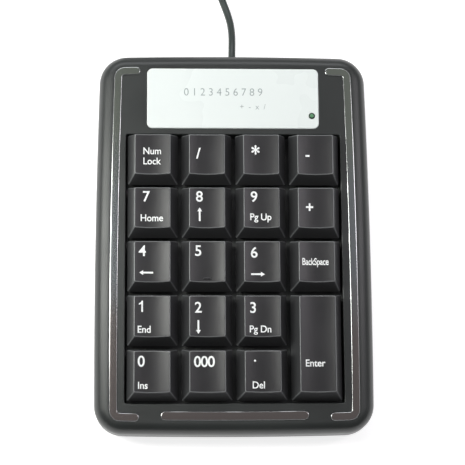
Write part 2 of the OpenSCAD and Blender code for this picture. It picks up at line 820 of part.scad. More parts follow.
module plug_shell() {
    t = 0.35;
    color("#c8cacc") translate([plug_x + plug_l - 5.9, plug_y, plug_z]) difference() {
        translate([0, -6, -2.25]) cube([shell_l, 12, 4.5]);
        translate([-1, -6 + t, -2.25 + t]) cube([shell_l + 2, 12 - 2 * t, 4.5 - 2 * t]);
        for (s = [-1, 1]) translate([shell_l - 6, s * 2.9 - 1.1, -4]) cube([2.5, 2.2, 8]);
    }
}

module plug_tongue() {
    color("#e8e8e6") translate([plug_x + plug_l - 5.8, plug_y, plug_z])
        translate([0, -5.4, -1.85]) cube([shell_l - 1.2, 10.8, 1.9]);
}

module plug_contacts() {
    color("#c9a64b") translate([plug_x + plug_l + 1, plug_y, plug_z + 0.05])
        for (y = [-3.5, -1, 1, 3.5]) translate([0, y - 0.5, 0]) cube([8.5, 1, 0.25]);
}

top_case();
bottom_case();
label_plate();
status_window();
left_trim();
right_trim();
front_trim();
rubber_feet();
case_screws();
dome_sheet();
upper_membrane();
membrane_spacer();
lower_membrane();
backing_plate();
plate_screws();
enter_stabiliser();
controller_board();
controller_chip();
crystal();
capacitor();
wire_header();
status_led();
pressure_strip();
board_screws();
strain_relief();
lead_wires();
lead();
lead_coil();
coil_tie();
plug_tail();
plug_body();
plug_shell();
plug_tongue();
plug_contacts();
for (k = keys) key_at(k);
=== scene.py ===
"""Numeric keypad: detailed pieces, finishes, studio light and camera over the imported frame."""
import math

import bmesh
import bpy
from bpy.props import FloatProperty, FloatVectorProperty, IntProperty, PointerProperty
from mathutils import Matrix, Vector
from mathutils.geometry import delaunay_2d_cdt


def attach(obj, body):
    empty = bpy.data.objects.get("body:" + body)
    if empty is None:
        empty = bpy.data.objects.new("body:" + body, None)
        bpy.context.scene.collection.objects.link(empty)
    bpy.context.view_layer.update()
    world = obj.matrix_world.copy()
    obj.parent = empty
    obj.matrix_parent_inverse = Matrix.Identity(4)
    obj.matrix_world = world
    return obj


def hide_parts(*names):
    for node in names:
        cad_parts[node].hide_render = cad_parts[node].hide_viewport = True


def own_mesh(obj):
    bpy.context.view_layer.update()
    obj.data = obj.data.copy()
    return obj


bl_info = {
    "name": "Numeric Keypad",
    "version": (1, 0, 0),
    "blender": (4, 5, 0),
    "location": "View3D > Sidebar > Keypad",
    "description": "Builds a wired numeric keypad with its keys, trim, plate and lead",
    "category": "Object",
}

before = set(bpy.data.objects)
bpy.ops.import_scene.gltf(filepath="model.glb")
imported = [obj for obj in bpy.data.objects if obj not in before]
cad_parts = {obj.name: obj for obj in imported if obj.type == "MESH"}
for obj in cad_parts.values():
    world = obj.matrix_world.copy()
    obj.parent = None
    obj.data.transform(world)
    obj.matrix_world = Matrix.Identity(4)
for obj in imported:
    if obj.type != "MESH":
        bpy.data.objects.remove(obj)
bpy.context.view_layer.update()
MM = 0.001

# The key deck leans back; its own frame has z = 0 at the lower rim of a key at rest.
LEAN = math.radians(4.5)
DECK = Matrix.Translation((0, -9.15 * MM, 19.6 * MM)) @ Matrix.Rotation(LEAN, 4, "X")
DECK_BACK = DECK.inverted()

PITCH = 19.05
CAP_W, CAP_D, CAP_H = 17.75, 17.9, 7.5
TOP_W, TOP_D, TOP_SHIFT = 12.45, 14.0, 0.77
KEY_Y0 = -0.35
BEZEL_Z = 1.5
WELL = (-38.1, -48.3, 38.1, 47.0)
WELL_Z, DECK_UNDER = -4.6, -6.4
PART_Z = 6.0
PLATE = (61.4, 22.0, 60.2)
LED = (28.2, 53.9)
TRIM_END = 33.1 + 1.425
DECK_POST_ROWS = (-1.5, -0.5, 0.5, 1.5)   # posts that hold the steel plate, in key rows from the middle
CLIP_Y, CLIP_T, CLIP_JAWS = 9.2, 1.6, (4.3, 6.2)   # clips for the enter key's wire, from that key's middle
DOME_R, DOME_FOLDED = 5.0, 0.36                # a dome's foot, and its share of height left when pressed
POSTS = [(s * 42.7, y) for s in (-1, 1) for y in (-48.0, 0.0, 44.0)]
FEET = [(s * 37.0, y) for s in (-1, 1) for y in (-57.0, 57.0)]

# Node, column, row, height in rows, and the printed words: text, left or centre, x, y, height
KEYS = [
    ("key_num_lock", 0, 0, 1, [("Num", -3.25, 0.75, "word"), ("Lock", -3.25, -2.9, "word")]),
    ("key_divide", 1, 0, 1, [("/", -3.8, -0.7, "mark")]),
    ("key_multiply", 2, 0, 1, [("*", -3.4, -1.2, "star")]),
    ("key_minus", 3, 0, 1, [("-", -3.4, -0.9, "mark")]),
    ("key_7", 0, 1, 1, [("7", -3.35, 2.9, "digit"), ("Home", -4.1, -4.1, "word")]),
    ("key_8", 1, 1, 1, [("8", -3.9, 2.9, "digit"), ("up", -2.6, -1.65, "arrow")]),
    ("key_9", 2, 1, 1, [("9", -3.8, 2.85, "digit"), ("Pg Up", -4.0, -3.7, "word")]),
    ("key_plus", 3, 1, 1, [("+", -3.5, -0.9, "mark")]),
    ("key_4", 0, 2, 1, [("4", -4.75, 2.7, "digit"), ("left", -2.1, -3.15, "arrow")]),
    ("key_5", 1, 2, 1, [("5", -4.25, 2.75, "digit")]),
    ("key_6", 2, 2, 1, [("6", -3.9, 2.15, "digit"), ("right", -1.5, -3.7, "arrow")]),
    ("key_backspace", 3, 2, 1, [("BackSpace", -5.05, -0.45, "tight")]),
    ("key_1", 0, 3, 1, [("1", -4.9, 2.25, "digit"), ("End", -4.95, -4.95, "word")]),
    ("key_2", 1, 3, 1, [("2", -4.35, 2.0, "digit"), ("down", -3.15, -3.0, "arrow")]),
    ("key_3", 2, 3, 1, [("3", -4.3, 1.9, "digit"), ("Pg Dn", -4.5, -4.9, "word")]),
    ("key_enter", 3, 3, 2, [("Enter", -4.35, -7.15, "word")]),
    ("key_0", 0, 4, 1, [("0", -4.9, 2.5, "digit"), ("Ins", -4.75, -5.1, "word")]),
    ("key_000", 1, 4, 1, [("000", -4.7, 2.35, "digit")]),
    ("key_decimal", 2, 4, 1, [(".", -3.15, 4.1, "digit"), ("Del", -3.65, -5.1, "word")]),
]


def key_centre(column, row, rows):
    return (column - 1.5) * PITCH, KEY_Y0 + (2 - row - (rows - 1) / 2) * PITCH


def on_deck(x, y, z):
    return DECK @ Vector((x * MM, y * MM, z * MM))


def on_table(x, y, z):
    return Vector((x * MM, y * MM, z * MM))


# Colours and finishes --------------------------------------------------------


def srgb(code):
    """Linear colour of an sRGB hex code."""
    parts = [int(code[i : i + 2], 16) / 255 for i in (1, 3, 5)]
    return tuple(c / 12.92 if c <= 0.04045 else ((c + 0.055) / 1.055) ** 2.4 for c in parts)


def add(tree, kind, values=None, links=None, **settings):
    """Adds a node with its settings, input values and links."""
    node = tree.nodes.new(kind)
    for name, value in settings.items():
        setattr(node, name, value)
    for name, value in (values or {}).items():
        node.inputs[name].default_value = value
    for name, socket in (links or {}).items():
        tree.links.new(socket, node.inputs[name])
    return node


def blank(name, roughness, metallic=0.0, ior=1.5):
    """A new material, its node tree and its Principled shader."""
    made = bpy.data.materials.new(name)
    made.use_nodes = True
    shader = made.node_tree.nodes["Principled BSDF"]
    shader.inputs["Roughness"].default_value = roughness
    shader.inputs["Metallic"].default_value = metallic
    if not metallic:
        shader.inputs["IOR"].default_value = ior
    return made, made.node_tree, shader


def ramp(tree, fac, stops):
    """Colour ramp through (position, linear colour) stops."""
    node = add(tree, "ShaderNodeValToRGB", links={"Fac": fac})
    band = node.color_ramp
    while len(band.elements) < len(stops):
        band.elements.new(0.5)
    for element, (place, colour) in zip(band.elements, stops):
        element.position = place
        element.color = (*colour[:3], 1)
    return node.outputs["Color"]


def mottled(tree, shader, colour, spread, size_mm, roughness, grain_mm, depth_mm, seed=0.0):
    """Colour and roughness that drift over size_mm, and a fine relief of grain_mm."""
    place = add(tree, "ShaderNodeTexCoord").outputs["Object"]
    where = add(tree, "ShaderNodeMapping", {"Location": (seed, seed * 0.7, seed * 1.3)}, {"Vector": place})
    wide = add(tree, "ShaderNodeTexNoise", {"Scale": 1 / (size_mm * MM), "Detail": 3.0},
               {"Vector": where.outputs["Vector"]})
    low = tuple(c * (1 - spread) for c in colour[:3])
    high = tuple(min(1, c * (1 + spread)) for c in colour[:3])
    tree.links.new(ramp(tree, wide.outputs["Fac"], [(0.35, low), (0.65, high)]), shader.inputs["Base Color"])
    roughness_and_painted_light = add(tree, "ShaderNodeMapRange", {"From Min": 0.35, "From Max": 0.65, "To Min": roughness[0],
                                            "To Max": roughness[1]}, {"Value": wide.outputs["Fac"]})
    tree.links.new(roughness_and_painted_light.outputs["Result"], shader.inputs["Roughness"])
    fine = add(tree, "ShaderNodeTexNoise", {"Scale": 1 / (grain_mm * MM), "Detail": 2.0, "Roughness": 0.6},
               {"Vector": where.outputs["Vector"]})
    relief = add(tree, "ShaderNodeBump", {"Strength": 1.0, "Distance": depth_mm * MM},
                 {"Height": fine.outputs["Fac"]})
    tree.links.new(relief.outputs["Normal"], shader.inputs["Normal"])
    return relief


def case_abs(colour):
    # Injection-moulded ABS from a spark-eroded tool: a satin dark grey with a soft, broad sheen.
    # The real grain is about 0.1 mm; it is drawn at 0.5 mm, where it still shows.
    made, tree, shader = blank("abs_case_satin", 0.4, ior=1.54)
    mottled(tree, shader, colour, 0.07, 22, (0.32, 0.37), 0.5, 0.012)
    return made


def base_abs(colour):
    # The same ABS off a plainer tool: duller, and a shade darker in colour as painted shade for the
    # underside.
    made, tree, shader = blank("abs_base_matt", 0.5, ior=1.54)
    mottled(tree, shader, colour, 0.12, 15, (0.46, 0.6), 0.7, 0.02, 0.3)
    return made


def key_abs(colour, edge):
    # Keycap ABS, finer grained than the case. Its edges are painted paler as a painted highlight,
    # which draws a thin light line round each top and down each corner, and its sides are painted
    # slightly paler as painted light on them.
    made, tree, shader = blank("abs_keycap_fine_satin", 0.36, ior=1.54)
    mottled(tree, shader, colour, 0.06, 9, (0.3, 0.34), 0.35, 0.009, 0.9)
    body = shader.inputs["Base Color"].links[0].from_socket
    # Painted light per point: 1 on each top edge and 0.8 down each corner as painted highlight, 0.2 on the
    # sides.
    roughness_and_painted_light = add(tree, "ShaderNodeAttribute", attribute_name="painted_light").outputs["Fac"]
    pale = add(tree, "ShaderNodeMixRGB", {"Color2": (*edge[:3], 1)}, {"Fac": roughness_and_painted_light, "Color1": body})
    tree.links.new(pale.outputs["Color"], shader.inputs["Base Color"])
    return made


def legend_ink(colour):
    # Pad-printed white epoxy ink: flat and slightly chalky, it hides the dark plastic fully.
    made, tree, shader = blank("pad_print_white_ink", 0.55)
    mottled(tree, shader, colour, 0.03, 1.5, (0.5, 0.6), 0.2, 0.003)
    return made


def plate_ink(colour):
    # Thin grey screen print on the plate, faint because little ink is laid down.
    made, tree, shader = blank("screen_print_pale_grey_ink", 0.45)
    mottled(tree, shader, colour, 0.05, 1.2, (0.4, 0.5), 0.3, 0.002)
    return made


def plate_acrylic(colour):
    # Pearl-white acrylic plate: nearly white, faintly cool, with a clear gloss skin.
    made, tree, shader = blank("acrylic_pearl_white", 0.28, ior=1.49)
    mottled(tree, shader, colour, 0.006, 40, (0.24, 0.28), 3.0, 0.002)
    shader.inputs["Coat Weight"].default_value = 0.3
    shader.inputs["Coat Roughness"].default_value = 0.12
    return made


def trim_chrome(top, middle, low, edge_highlight):
    # Vacuum-metallised plastic: a bright thin metal film whose colour changes along its length from rear to
    # front as painted reflection, long fine ripples left by the mould, and rounded edges painted brighter as
    # a painted highlight.
    made, tree, shader = blank("metallised_plastic_chrome", 0.17, 1.0)
    place = add(tree, "ShaderNodeTexCoord").outputs["Object"]
    apart = add(tree, "ShaderNodeSeparateXYZ", links={"Vector": place})
    wander = add(tree, "ShaderNodeTexNoise", {"Scale": 60.0, "Detail": 2.0}, {"Vector": place})
    shift = add(tree, "ShaderNodeMath", {1: 0.02}, {0: wander.outputs["Fac"]}, operation="MULTIPLY")
    along = add(tree, "ShaderNodeMath", links={0: apart.outputs["Y"], 1: shift.outputs["Value"]},
                operation="ADD")
    part = add(tree, "ShaderNodeMapRange", {"From Min": -0.055, "From Max": 0.075},
               {"Value": along.outputs["Value"]})
    # Painted reflection: the colour runs from the front tint through the middle to the rear tint along y.
    tint = ramp(tree, part.outputs["Result"],
                [(0.0, low), (0.22, low), (0.4, middle), (0.62, middle), (0.8, top), (1.0, top)])
    # Painted highlight: the strip's rounded edges are mixed towards the pale edge colour.
    rim = add(tree, "ShaderNodeAttribute", attribute_name="painted_light").outputs["Fac"]
    bright = add(tree, "ShaderNodeMixRGB", {"Color2": (*edge_highlight[:3], 1)}, {"Fac": rim, "Color1": tint})
    tree.links.new(bright.outputs["Color"], shader.inputs["Base Color"])
    stretch = add(tree, "ShaderNodeMapping", {"Scale": (1.0, 0.12, 1.0)}, {"Vector": place})
    ripple = add(tree, "ShaderNodeTexNoise", {"Scale": 700.0, "Detail": 1.0},
                 {"Vector": stretch.outputs["Vector"]})
    relief = add(tree, "ShaderNodeBump", {"Strength": 1.0, "Distance": 0.012 * MM},
                 {"Height": ripple.outputs["Fac"]})
    tree.links.new(relief.outputs["Normal"], shader.inputs["Normal"])
    return made


def lens_acrylic(rim, core):
    # Tinted acrylic lens of the light: dark green at its rim, paler where the light shows through.
    made, tree, shader = blank("acrylic_lens_green", 0.12, ior=1.49)
    centre = on_deck(LED[0], LED[1], 1.9)
    place = add(tree, "ShaderNodeTexCoord").outputs["Object"]
    where = add(tree, "ShaderNodeMapping", {"Location": tuple(-c for c in centre)}, {"Vector": place})
    reach = add(tree, "ShaderNodeVectorMath", links={0: where.outputs["Vector"]}, operation="LENGTH")
    part = add(tree, "ShaderNodeMapRange", {"From Min": 0.0, "From Max": 1.15 * MM},
               {"Value": reach.outputs["Value"]})
    tint = ramp(tree, part.outputs["Result"], [(0.0, core), (0.42, core), (0.72, rim), (1.0, rim)])
    tree.links.new(tint, shader.inputs["Base Color"])
    return made


def soft_vinyl(name, colour, seed):
    # Plasticised PVC: a smooth satin skin, greener and glossier than the case.
    made, tree, shader = blank(name, 0.34, ior=1.52)
    mottled(tree, shader, colour, 0.1, 9, (0.3, 0.4), 0.6, 0.01, seed)
    return made


def foot_rubber(colour):
    # Moulded rubber: dull, with a dusty bloom.
    made, tree, shader = blank("rubber_foot_matt", 0.75, ior=1.52)
    mottled(tree, shader, colour, 0.3, 3, (0.68, 0.85), 0.3, 0.015, 1.7)
    return made


def plain_metal(name, colour, roughness, streak):
    # Bare or plated metal with fine drawing lines, which spread the highlight along them.
    made, tree, shader = blank(name, roughness, 1.0)
    place = add(tree, "ShaderNodeTexCoord").outputs["Object"]
    stretch = add(tree, "ShaderNodeMapping", {"Scale": (1.0, streak, 1.0)}, {"Vector": place})
    lines = add(tree, "ShaderNodeTexNoise", {"Scale": 1500.0, "Detail": 2.0},
                {"Vector": stretch.outputs["Vector"]})
    low = tuple(c * 0.85 for c in colour)
    tree.links.new(ramp(tree, lines.outputs["Fac"], [(0.3, low), (0.7, colour)]), shader.inputs["Base Color"])
    relief = add(tree, "ShaderNodeBump", {"Strength": 1.0, "Distance": 0.004 * MM},
                 {"Height": lines.outputs["Fac"]})
    tree.links.new(relief.outputs["Normal"], shader.inputs["Normal"])
    return made


def plain_plastic(name, colour, roughness, seed=0.0):
    # Small moulded or cast parts inside the case: an even colour with slight mottling.
    made, tree, shader = blank(name, roughness)
    mottled(tree, shader, colour, 0.12, 4, (roughness * 0.9, min(1, roughness * 1.15)), 0.3, 0.01, seed)
    return made


# Mesh helpers ------------------------------------------------------------------


class Skin:
    """Collects the points and faces of one piece. Loops run counter-clockwise seen from above."""

    def __init__(self):
        self.points, self.faces, self.painted_light = [], [], {}

    def ring(self, points):
        start = len(self.points)
        self.points.extend(points)
        return list(range(start, len(self.points)))

    def bridge(self, low, high):
        for i, n in enumerate(low):
            j = (i + 1) % len(low)
            self.faces.append((n, low[j], high[j], high[i]))

    def strip(self, loops):
        """Joins loops in order: up an outside, inwards over a top, or down an inside."""
        rings = [self.ring(loop) for loop in loops]
        for low, high in zip(rings, rings[1:]):
            self.bridge(low, high)
        return rings

    def fan(self, ring, centre, up=True):
        self.points.append(centre)
        hub = len(self.points) - 1
        for i, n in enumerate(ring):
            m = ring[(i + 1) % len(ring)]
            self.faces.append((n, m, hub) if up else (m, n, hub))

    def sheet(self, outer, holes, flat, up=True):
        """Fills between ring outer and the rings in holes; flat gives a point's plan."""
        rings = [outer, *holes]
        order = [n for ring in rings for n in ring]
        plan = [Vector(flat(self.points[n])) for n in order]
        edges, start = [], 0
        for ring in rings:
            edges += [(start + i, start + (i + 1) % len(ring)) for i in range(len(ring))]
            start += len(ring)
        shapes = [[flat(self.points[n]) for n in ring] for ring in rings]
        made = delaunay_2d_cdt(plan, edges, [], 1, 1e-9, True)
        if not all(made[3]):
            raise RuntimeError("the loops of a flat face cross")
        for face in made[2]:
            corners = [order[made[3][n][0]] for n in face]
            spots = [flat(self.points[n]) for n in corners]
            middle = [sum(p[k] for p in spots) / 3 for k in (0, 1)]
            if not inside(middle, shapes[0]) or any(inside(middle, hole) for hole in shapes[1:]):
                continue
            (ax, ay), (bx, by), (cx, cy) = spots
            ccw = (bx - ax) * (cy - ay) - (by - ay) * (cx - ax) > 0
            self.faces.append(tuple(corners if ccw == up else reversed(corners)))

    def make(self, name, material, sharp=32, closed=True):
        mesh = bpy.data.meshes.new(name)
        mesh.from_pydata(self.points, [], self.faces)
        if self.painted_light:
            roughness_and_painted_light = mesh.attributes.new("painted_light", "FLOAT", "POINT")
            roughness_and_painted_light.data.foreach_set("value", [self.painted_light.get(n, 0.0) for n in range(len(self.points))])
        if closed:
            tool = bmesh.new()
            tool.from_mesh(mesh)
            bmesh.ops.remove_doubles(tool, verts=tool.verts, dist=0.002 * MM)
            bmesh.ops.dissolve_degenerate(tool, edges=tool.edges, dist=0.001 * MM)
            bmesh.ops.recalc_face_normals(tool, faces=tool.faces)
            tool.to_mesh(mesh)
            tool.free()
        return dress(name, mesh, material, sharp)


def dress(name, mesh, material, sharp=32):
    """A shown object from a mesh: smooth faces, sharp edges kept, one material."""
    mesh.validate()
    mesh.shade_smooth()
    mesh.set_sharp_from_angle(angle=math.radians(sharp))
    mesh.materials.clear()
    mesh.materials.append(material)
    piece = bpy.data.objects.new(name, mesh)
    bpy.context.scene.collection.objects.link(piece)
    return piece


def inside(point, loop):
    x, y = point
    hit = False
    for (ax, ay), (bx, by) in zip(loop, loop[1:] + loop[:1]):
        if (ay > y) != (by > y) and x < (bx - ax) * (y - ay) / (by - ay) + ax:
            hit = not hit
    return hit


def rounded(x0, y0, x1, y1, r, steps=6, along=1):
    """A rounded rectangle as (place, outward normal) pairs, with each side in along parts."""
    corners = []
    for cx, cy, turn in ((x1 - r, y0 + r, -90), (x1 - r, y1 - r, 0), (x0 + r, y1 - r, 90),
                         (x0 + r, y0 + r, 180)):
        rays = [math.radians(turn + 90 * i / steps) for i in range(steps + 1)]
        corners.append([(Vector((cx + r * math.cos(a), cy + r * math.sin(a))),
                         Vector((math.cos(a), math.sin(a))))
                        for a in rays])
    made = []
    for corner, after in zip(corners, corners[1:] + corners[:1]):
        p, n = corner[-1]
        made += corner + [(p.lerp(after[0][0], k / along), n) for k in range(1, along)]
    return made


def circle(cx, cy, r, count=32):
    turn = [2 * math.pi * i / count for i in range(count)]
    return [(Vector((cx + r * math.cos(a), cy + r * math.sin(a))), Vector((math.cos(a), math.sin(a))))
            for a in turn]


def meet(c1, r1, c2, r2, near):
    """The crossing of two circles that lies closest to near."""
    d = c2 - c1
    a = (r1 * r1 - r2 * r2 + d.length_squared) / (2 * d.length)
    h = math.sqrt(max(r1 * r1 - a * a, 0))
    middle, side = c1 + d * (a / d.length), Vector((-d.y, d.x)) / d.length
    return min((middle + side * h, middle - side * h), key=lambda p: (p - near).length)


def bowed(half_w, front, rear, corner, crown, side_r=3200.0, end_r=1750.0, long_n=26, corner_n=12):
    """The case's plan: four flat arcs and four round corners, as (place, outward normal) pairs."""
    side = Vector((half_w - side_r, crown))
    ends = [Vector((0, front + end_r)), Vector((0, rear - end_r))]
    marks = [Vector((half_w - corner, front + corner)), Vector((half_w - corner, rear - corner))]
    hubs = [meet(side, side_r - corner, end, end_r - corner, mark) for end, mark in zip(ends, marks)]

    def arc(centre, r, start, stop, count):
        a, b = math.atan2(*(start - centre).yx), math.atan2(*(stop - centre).yx)
        if b - a < -math.pi:
            b += 2 * math.pi
        turn = [a + (b - a) * i / count for i in range(count + 1)]
        return [(centre + r * Vector((math.cos(t), math.sin(t))), Vector((math.cos(t), math.sin(t))))
                for t in turn]

    front_hub, rear_hub = hubs
    flip = lambda v: Vector((-v.x, v.y))
    reach = [(front_hub - side).normalized(), (rear_hub - side).normalized()]
    right = arc(side, side_r, side + reach[0] * side_r, side + reach[1] * side_r, long_n)
    out = (rear_hub - ends[1]).normalized()
    turn_rear = arc(rear_hub, corner, rear_hub + reach[1], rear_hub + out, corner_n)
    rear_arc = arc(ends[1], end_r, ends[1] + out, ends[1] + flip(out), long_n)
    out = (front_hub - ends[0]).normalized()
    turn_front = arc(front_hub, corner, front_hub + out, front_hub + reach[0], corner_n)
    front_arc = [(ends[0] + end_r * n, n) for n in
                 (Vector((math.sin(t), -math.cos(t))) for t in
                  (math.asin(-out.x) + 2 * math.asin(out.x) * i / long_n for i in range(long_n + 1)))]
    mirrored = lambda part: [(flip(p), flip(n)) for p, n in reversed(part)]
    whole = right[:-1] + turn_rear[:-1] + rear_arc[:-1] + mirrored(turn_rear)[:-1]
    whole += mirrored(right)[:-1] + mirrored(turn_front)[:-1] + front_arc[:-1] + turn_front[:-1]
    return whole


def loop_at(shape, out, z, place=on_deck):
    """A loop of a plan grown by out, at height z."""
    return [place(p.x + n.x * out, p.y + n.y * out, z) for p, n in shape]


def hole_loops(shape, top, depth, fillet, steps=4, ring=0.15, floor_fillet=0.0):
    """Loops of a recess: a support ring, a rounded brim, and its wall down to depth."""
    loops = [loop_at(shape, fillet + ring, top)]
    for i in range(steps + 1):
        a = math.pi / 2 * i / steps
        loops.append(loop_at(shape, fillet * (1 - math.sin(a)), top - fillet * (1 - math.cos(a))))
    loops.append(loop_at(shape, 0, top - fillet - 0.1))
    if floor_fillet:
        for i in range(steps + 1):
            a = math.pi / 2 * i / steps
            loops.append(loop_at(shape, -floor_fillet * (1 - math.cos(a)),
                                 depth + floor_fillet * (1 - math.sin(a))))
        loops.append(loop_at(shape, -floor_fillet - ring, depth))
    else:
        loops.append(loop_at(shape, 0, depth))
    return loops


def ribbon(path, half, cap=8):
    """Outline of a strip of width 2 * half along a path of (place, outward normal) pairs."""
    outer = [(p + n * half, n) for p, n in path]
    inner = [(p - n * half, -n) for p, n in reversed(path)]

    def tip(spot, n):
        turn = math.atan2(n.y, n.x)
        made = []
        for i in range(1, cap):
            a = turn + math.pi * i / cap
            d = Vector((math.cos(a), math.sin(a)))
            made.append((spot + d * half, d))
        return made

    return outer + tip(*path[-1]) + inner + tip(path[0][0], -path[0][1])


def deck_plan(point):
    flat = DECK_BACK @ point
    return flat.x * 1000, flat.y * 1000


def table_plan(point):
    return point.x * 1000, point.y * 1000


def place_piece(piece, slot, body, *nodes):
    """Hides the CAD nodes that a finished piece stands for and hangs the piece on its body."""
    if nodes:
        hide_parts(*nodes)
    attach(piece, body)
    return piece


# Geometry Nodes ------------------------------------------------------------------


def new_tree(name, inputs):
    """An empty geometry tree with named inputs: (name, socket type, default)."""
    tree = bpy.data.node_groups.new(name, "GeometryNodeTree")
    tree.interface.new_socket("Geometry", in_out="INPUT", socket_type="NodeSocketGeometry")
    for label, kind, default in inputs:
        socket = tree.interface.new_socket(label, in_out="INPUT", socket_type=kind)
        if default is not None:
            socket.default_value = default
    tree.interface.new_socket("Geometry", in_out="OUTPUT", socket_type="NodeSocketGeometry")
    return tree, add(tree, "NodeGroupInput"), add(tree, "NodeGroupOutput")


def run_tree(tree, source, values, name, sharp=32):
    """Runs a tree on an object and returns its result as a plain mesh object."""
    modifier = source.modifiers.new("build", "NODES")
    modifier.node_group = tree
    sockets = {s.name: s.identifier for s in tree.interface.items_tree if s.in_out == "INPUT"}
    for label, value in values.items():
        modifier[sockets[label]] = value
    ready = source.evaluated_get(bpy.context.evaluated_depsgraph_get())
    mesh = bpy.data.meshes.new_from_object(ready)
    source.modifiers.remove(modifier)
    bpy.data.objects.remove(source)
    mesh.shade_smooth()
    mesh.set_sharp_from_angle(angle=math.radians(sharp))
    piece = bpy.data.objects.new(name, mesh)
    bpy.context.scene.collection.objects.link(piece)
    return piece


def repeat_tree():
    """Sets one piece at every point, each turned at random about its own axis."""
    tree, given, result = new_tree("repeat_piece", [
        ("Piece", "NodeSocketObject", None), ("Finish", "NodeSocketMaterial", None),
        ("Lean", "NodeSocketFloat", 0.0), ("Turn", "NodeSocketFloat", 0.0), ("Seed", "NodeSocketInt", 7)])
    piece = add(tree, "GeometryNodeObjectInfo", links={"Object": given.outputs["Piece"]})
    chance = add(tree, "FunctionNodeRandomValue",
                 links={"Max": given.outputs["Turn"], "Seed": given.outputs["Seed"]})
    spin = add(tree, "ShaderNodeCombineXYZ", links={"Z": chance.outputs[1]})
    lean = add(tree, "ShaderNodeCombineXYZ", links={"X": given.outputs["Lean"]})
    stand = add(tree, "GeometryNodeInstanceOnPoints", links={
        "Points": given.outputs["Geometry"], "Instance": piece.outputs["Geometry"],
        "Rotation": lean.outputs["Vector"]})
    turned = add(tree, "GeometryNodeRotateInstances", links={
        "Instances": stand.outputs["Instances"], "Rotation": spin.outputs["Vector"]})
    real = add(tree, "GeometryNodeRealizeInstances", links={"Geometry": turned.outputs["Instances"]})
    finish = add(tree, "GeometryNodeSetMaterial", links={
        "Geometry": real.outputs["Geometry"], "Material": given.outputs["Finish"]})
    tree.links.new(finish.outputs["Geometry"], result.inputs["Geometry"])
    return tree


def sweep_tree():
    """Sweeps a round section along a curve."""
    tree, given, result = new_tree("sweep_round", [
        ("Radius", "NodeSocketFloat", 0.001), ("Sides", "NodeSocketInt", 16),
        ("Finish", "NodeSocketMaterial", None)])
    section = add(tree, "GeometryNodeCurvePrimitiveCircle", links={
        "Radius": given.outputs["Radius"], "Resolution": given.outputs["Sides"]})
    tube = add(tree, "GeometryNodeCurveToMesh", {"Fill Caps": True}, {
        "Curve": given.outputs["Geometry"], "Profile Curve": section.outputs["Curve"]})
    real = add(tree, "GeometryNodeRealizeInstances", links={"Geometry": tube.outputs["Mesh"]})
    finish = add(tree, "GeometryNodeSetMaterial", links={
        "Geometry": real.outputs["Geometry"], "Material": given.outputs["Finish"]})
    tree.links.new(finish.outputs["Geometry"], result.inputs["Geometry"])
    return tree


def repeat(name, piece, spots, material, lean=0.0, turn=0.0, seed=7):
    """Copies of one piece, modelled round the origin, at the given places."""
    mesh = bpy.data.meshes.new(name + "_points")
    mesh.from_pydata(spots, [], [])
    source = bpy.data.objects.new(name + "_points", mesh)
    bpy.context.scene.collection.objects.link(source)
    values = {"Piece": piece, "Finish": material, "Lean": lean, "Turn": turn, "Seed": seed}
    made = run_tree(repeat_tree(), source, values, name)
    bpy.data.objects.remove(piece)
    return made


def lathe(profile, count=32):
    """A closed solid turned from (radius, z) pairs in mm, bottom to top; it starts and ends on the axis."""
    skin = Skin()
    rings = skin.strip([loop_at(circle(0, 0, r, count), 0, z, on_table) for r, z in profile[1:-1]])
    skin.fan(rings[0], on_table(0, 0, profile[0][1]), up=False)
    skin.fan(rings[-1], on_table(0, 0, profile[-1][1]))
    return skin


def screw(head_d, head_h, shank_d, shank_l, material):
    """A screw standing head down: domed head with a cross recess, threaded shank."""
    skin = Skin()
    r, s = head_d / 2, shank_d / 2
    outline = circle(0, 0, 1, 24)
    arm, thin = r * 0.55, r * 0.16
    cross = [(arm, -thin), (arm, thin), (thin, thin), (thin, arm), (-thin, arm), (-thin, thin), (-arm, thin),
             (-arm, -thin), (-thin, -thin), (-thin, -arm), (thin, -arm), (thin, -thin)]
    profile = [(r * 0.8, 0.0), (r * 0.93, head_h * 0.12), (r, head_h * 0.4), (r, head_h)]
    loops = [[on_table(p.x * k, p.y * k, z) for p, _ in outline] for k, z in profile]
    turns = max(6, int(shank_l / 0.9))
    for i in range(turns):
        z = head_h + shank_l * 0.9 * i / turns
        step = shank_l * 0.9 / turns
        for k, part in ((s * 0.8, 0.0), (s, 0.45), (s * 0.8, 0.9)):
            loops.append([on_table(p.x * k, p.y * k, z + step * part) for p, _ in outline])
    rings = skin.strip(loops)
    skin.fan(rings[-1], on_table(0, 0, head_h + shank_l))
    mouth = skin.ring([on_table(x, y, 0) for x, y in cross])
    deep = skin.ring([on_table(x * 0.7, y * 0.7, head_h * 0.55) for x, y in cross])
    skin.sheet(rings[0], [mouth], table_plan, up=False)
    skin.bridge(deep, mouth)
    skin.sheet(deep, [], table_plan, up=False)
    return skin.make("screw", material, 40)


# Shapes -------------------------------------------------------------------------


def case_plan():
    return bowed(48.95, -59.15, 76.9, 10.0, -18.0)


def flat_plan():
    """Outline of the case's flat top, just outside the trim."""
    return bowed(43.86, -55.052, 72.302, 4.11, -18.0)


def trim_path():
    """Middle line of the left strip, from the end of its rear arm round to its front arm."""
    whole = bowed(43.55, -54.742, 71.992, 3.8, -18.0, long_n=34, corner_n=10)
    left = [(p - n * 1.425, n) for p, n in whole if p.x < -TRIM_END - 0.6]
    ends = []
    for p, n in (left[0], left[-1]):
        ends.append((Vector((-TRIM_END, p.y + (p.x + TRIM_END) * (n.x / n.y))), n))
    return [ends[0], *left, ends[1]]


def flipped(path):
    """The same path on the right-hand side."""
    return [(Vector((-p.x, p.y)), Vector((-n.x, n.y))) for p, n in reversed(path)]


def bar_path():
    """Middle line of the front bar, a flat arc."""
    made = []
    for i in range(25):
        x = -24.1 + 48.2 * i / 24
        made.append((Vector((x, -52.65 + x * x / 3500)), Vector((x / 1750, -1)).normalized()))
    return made


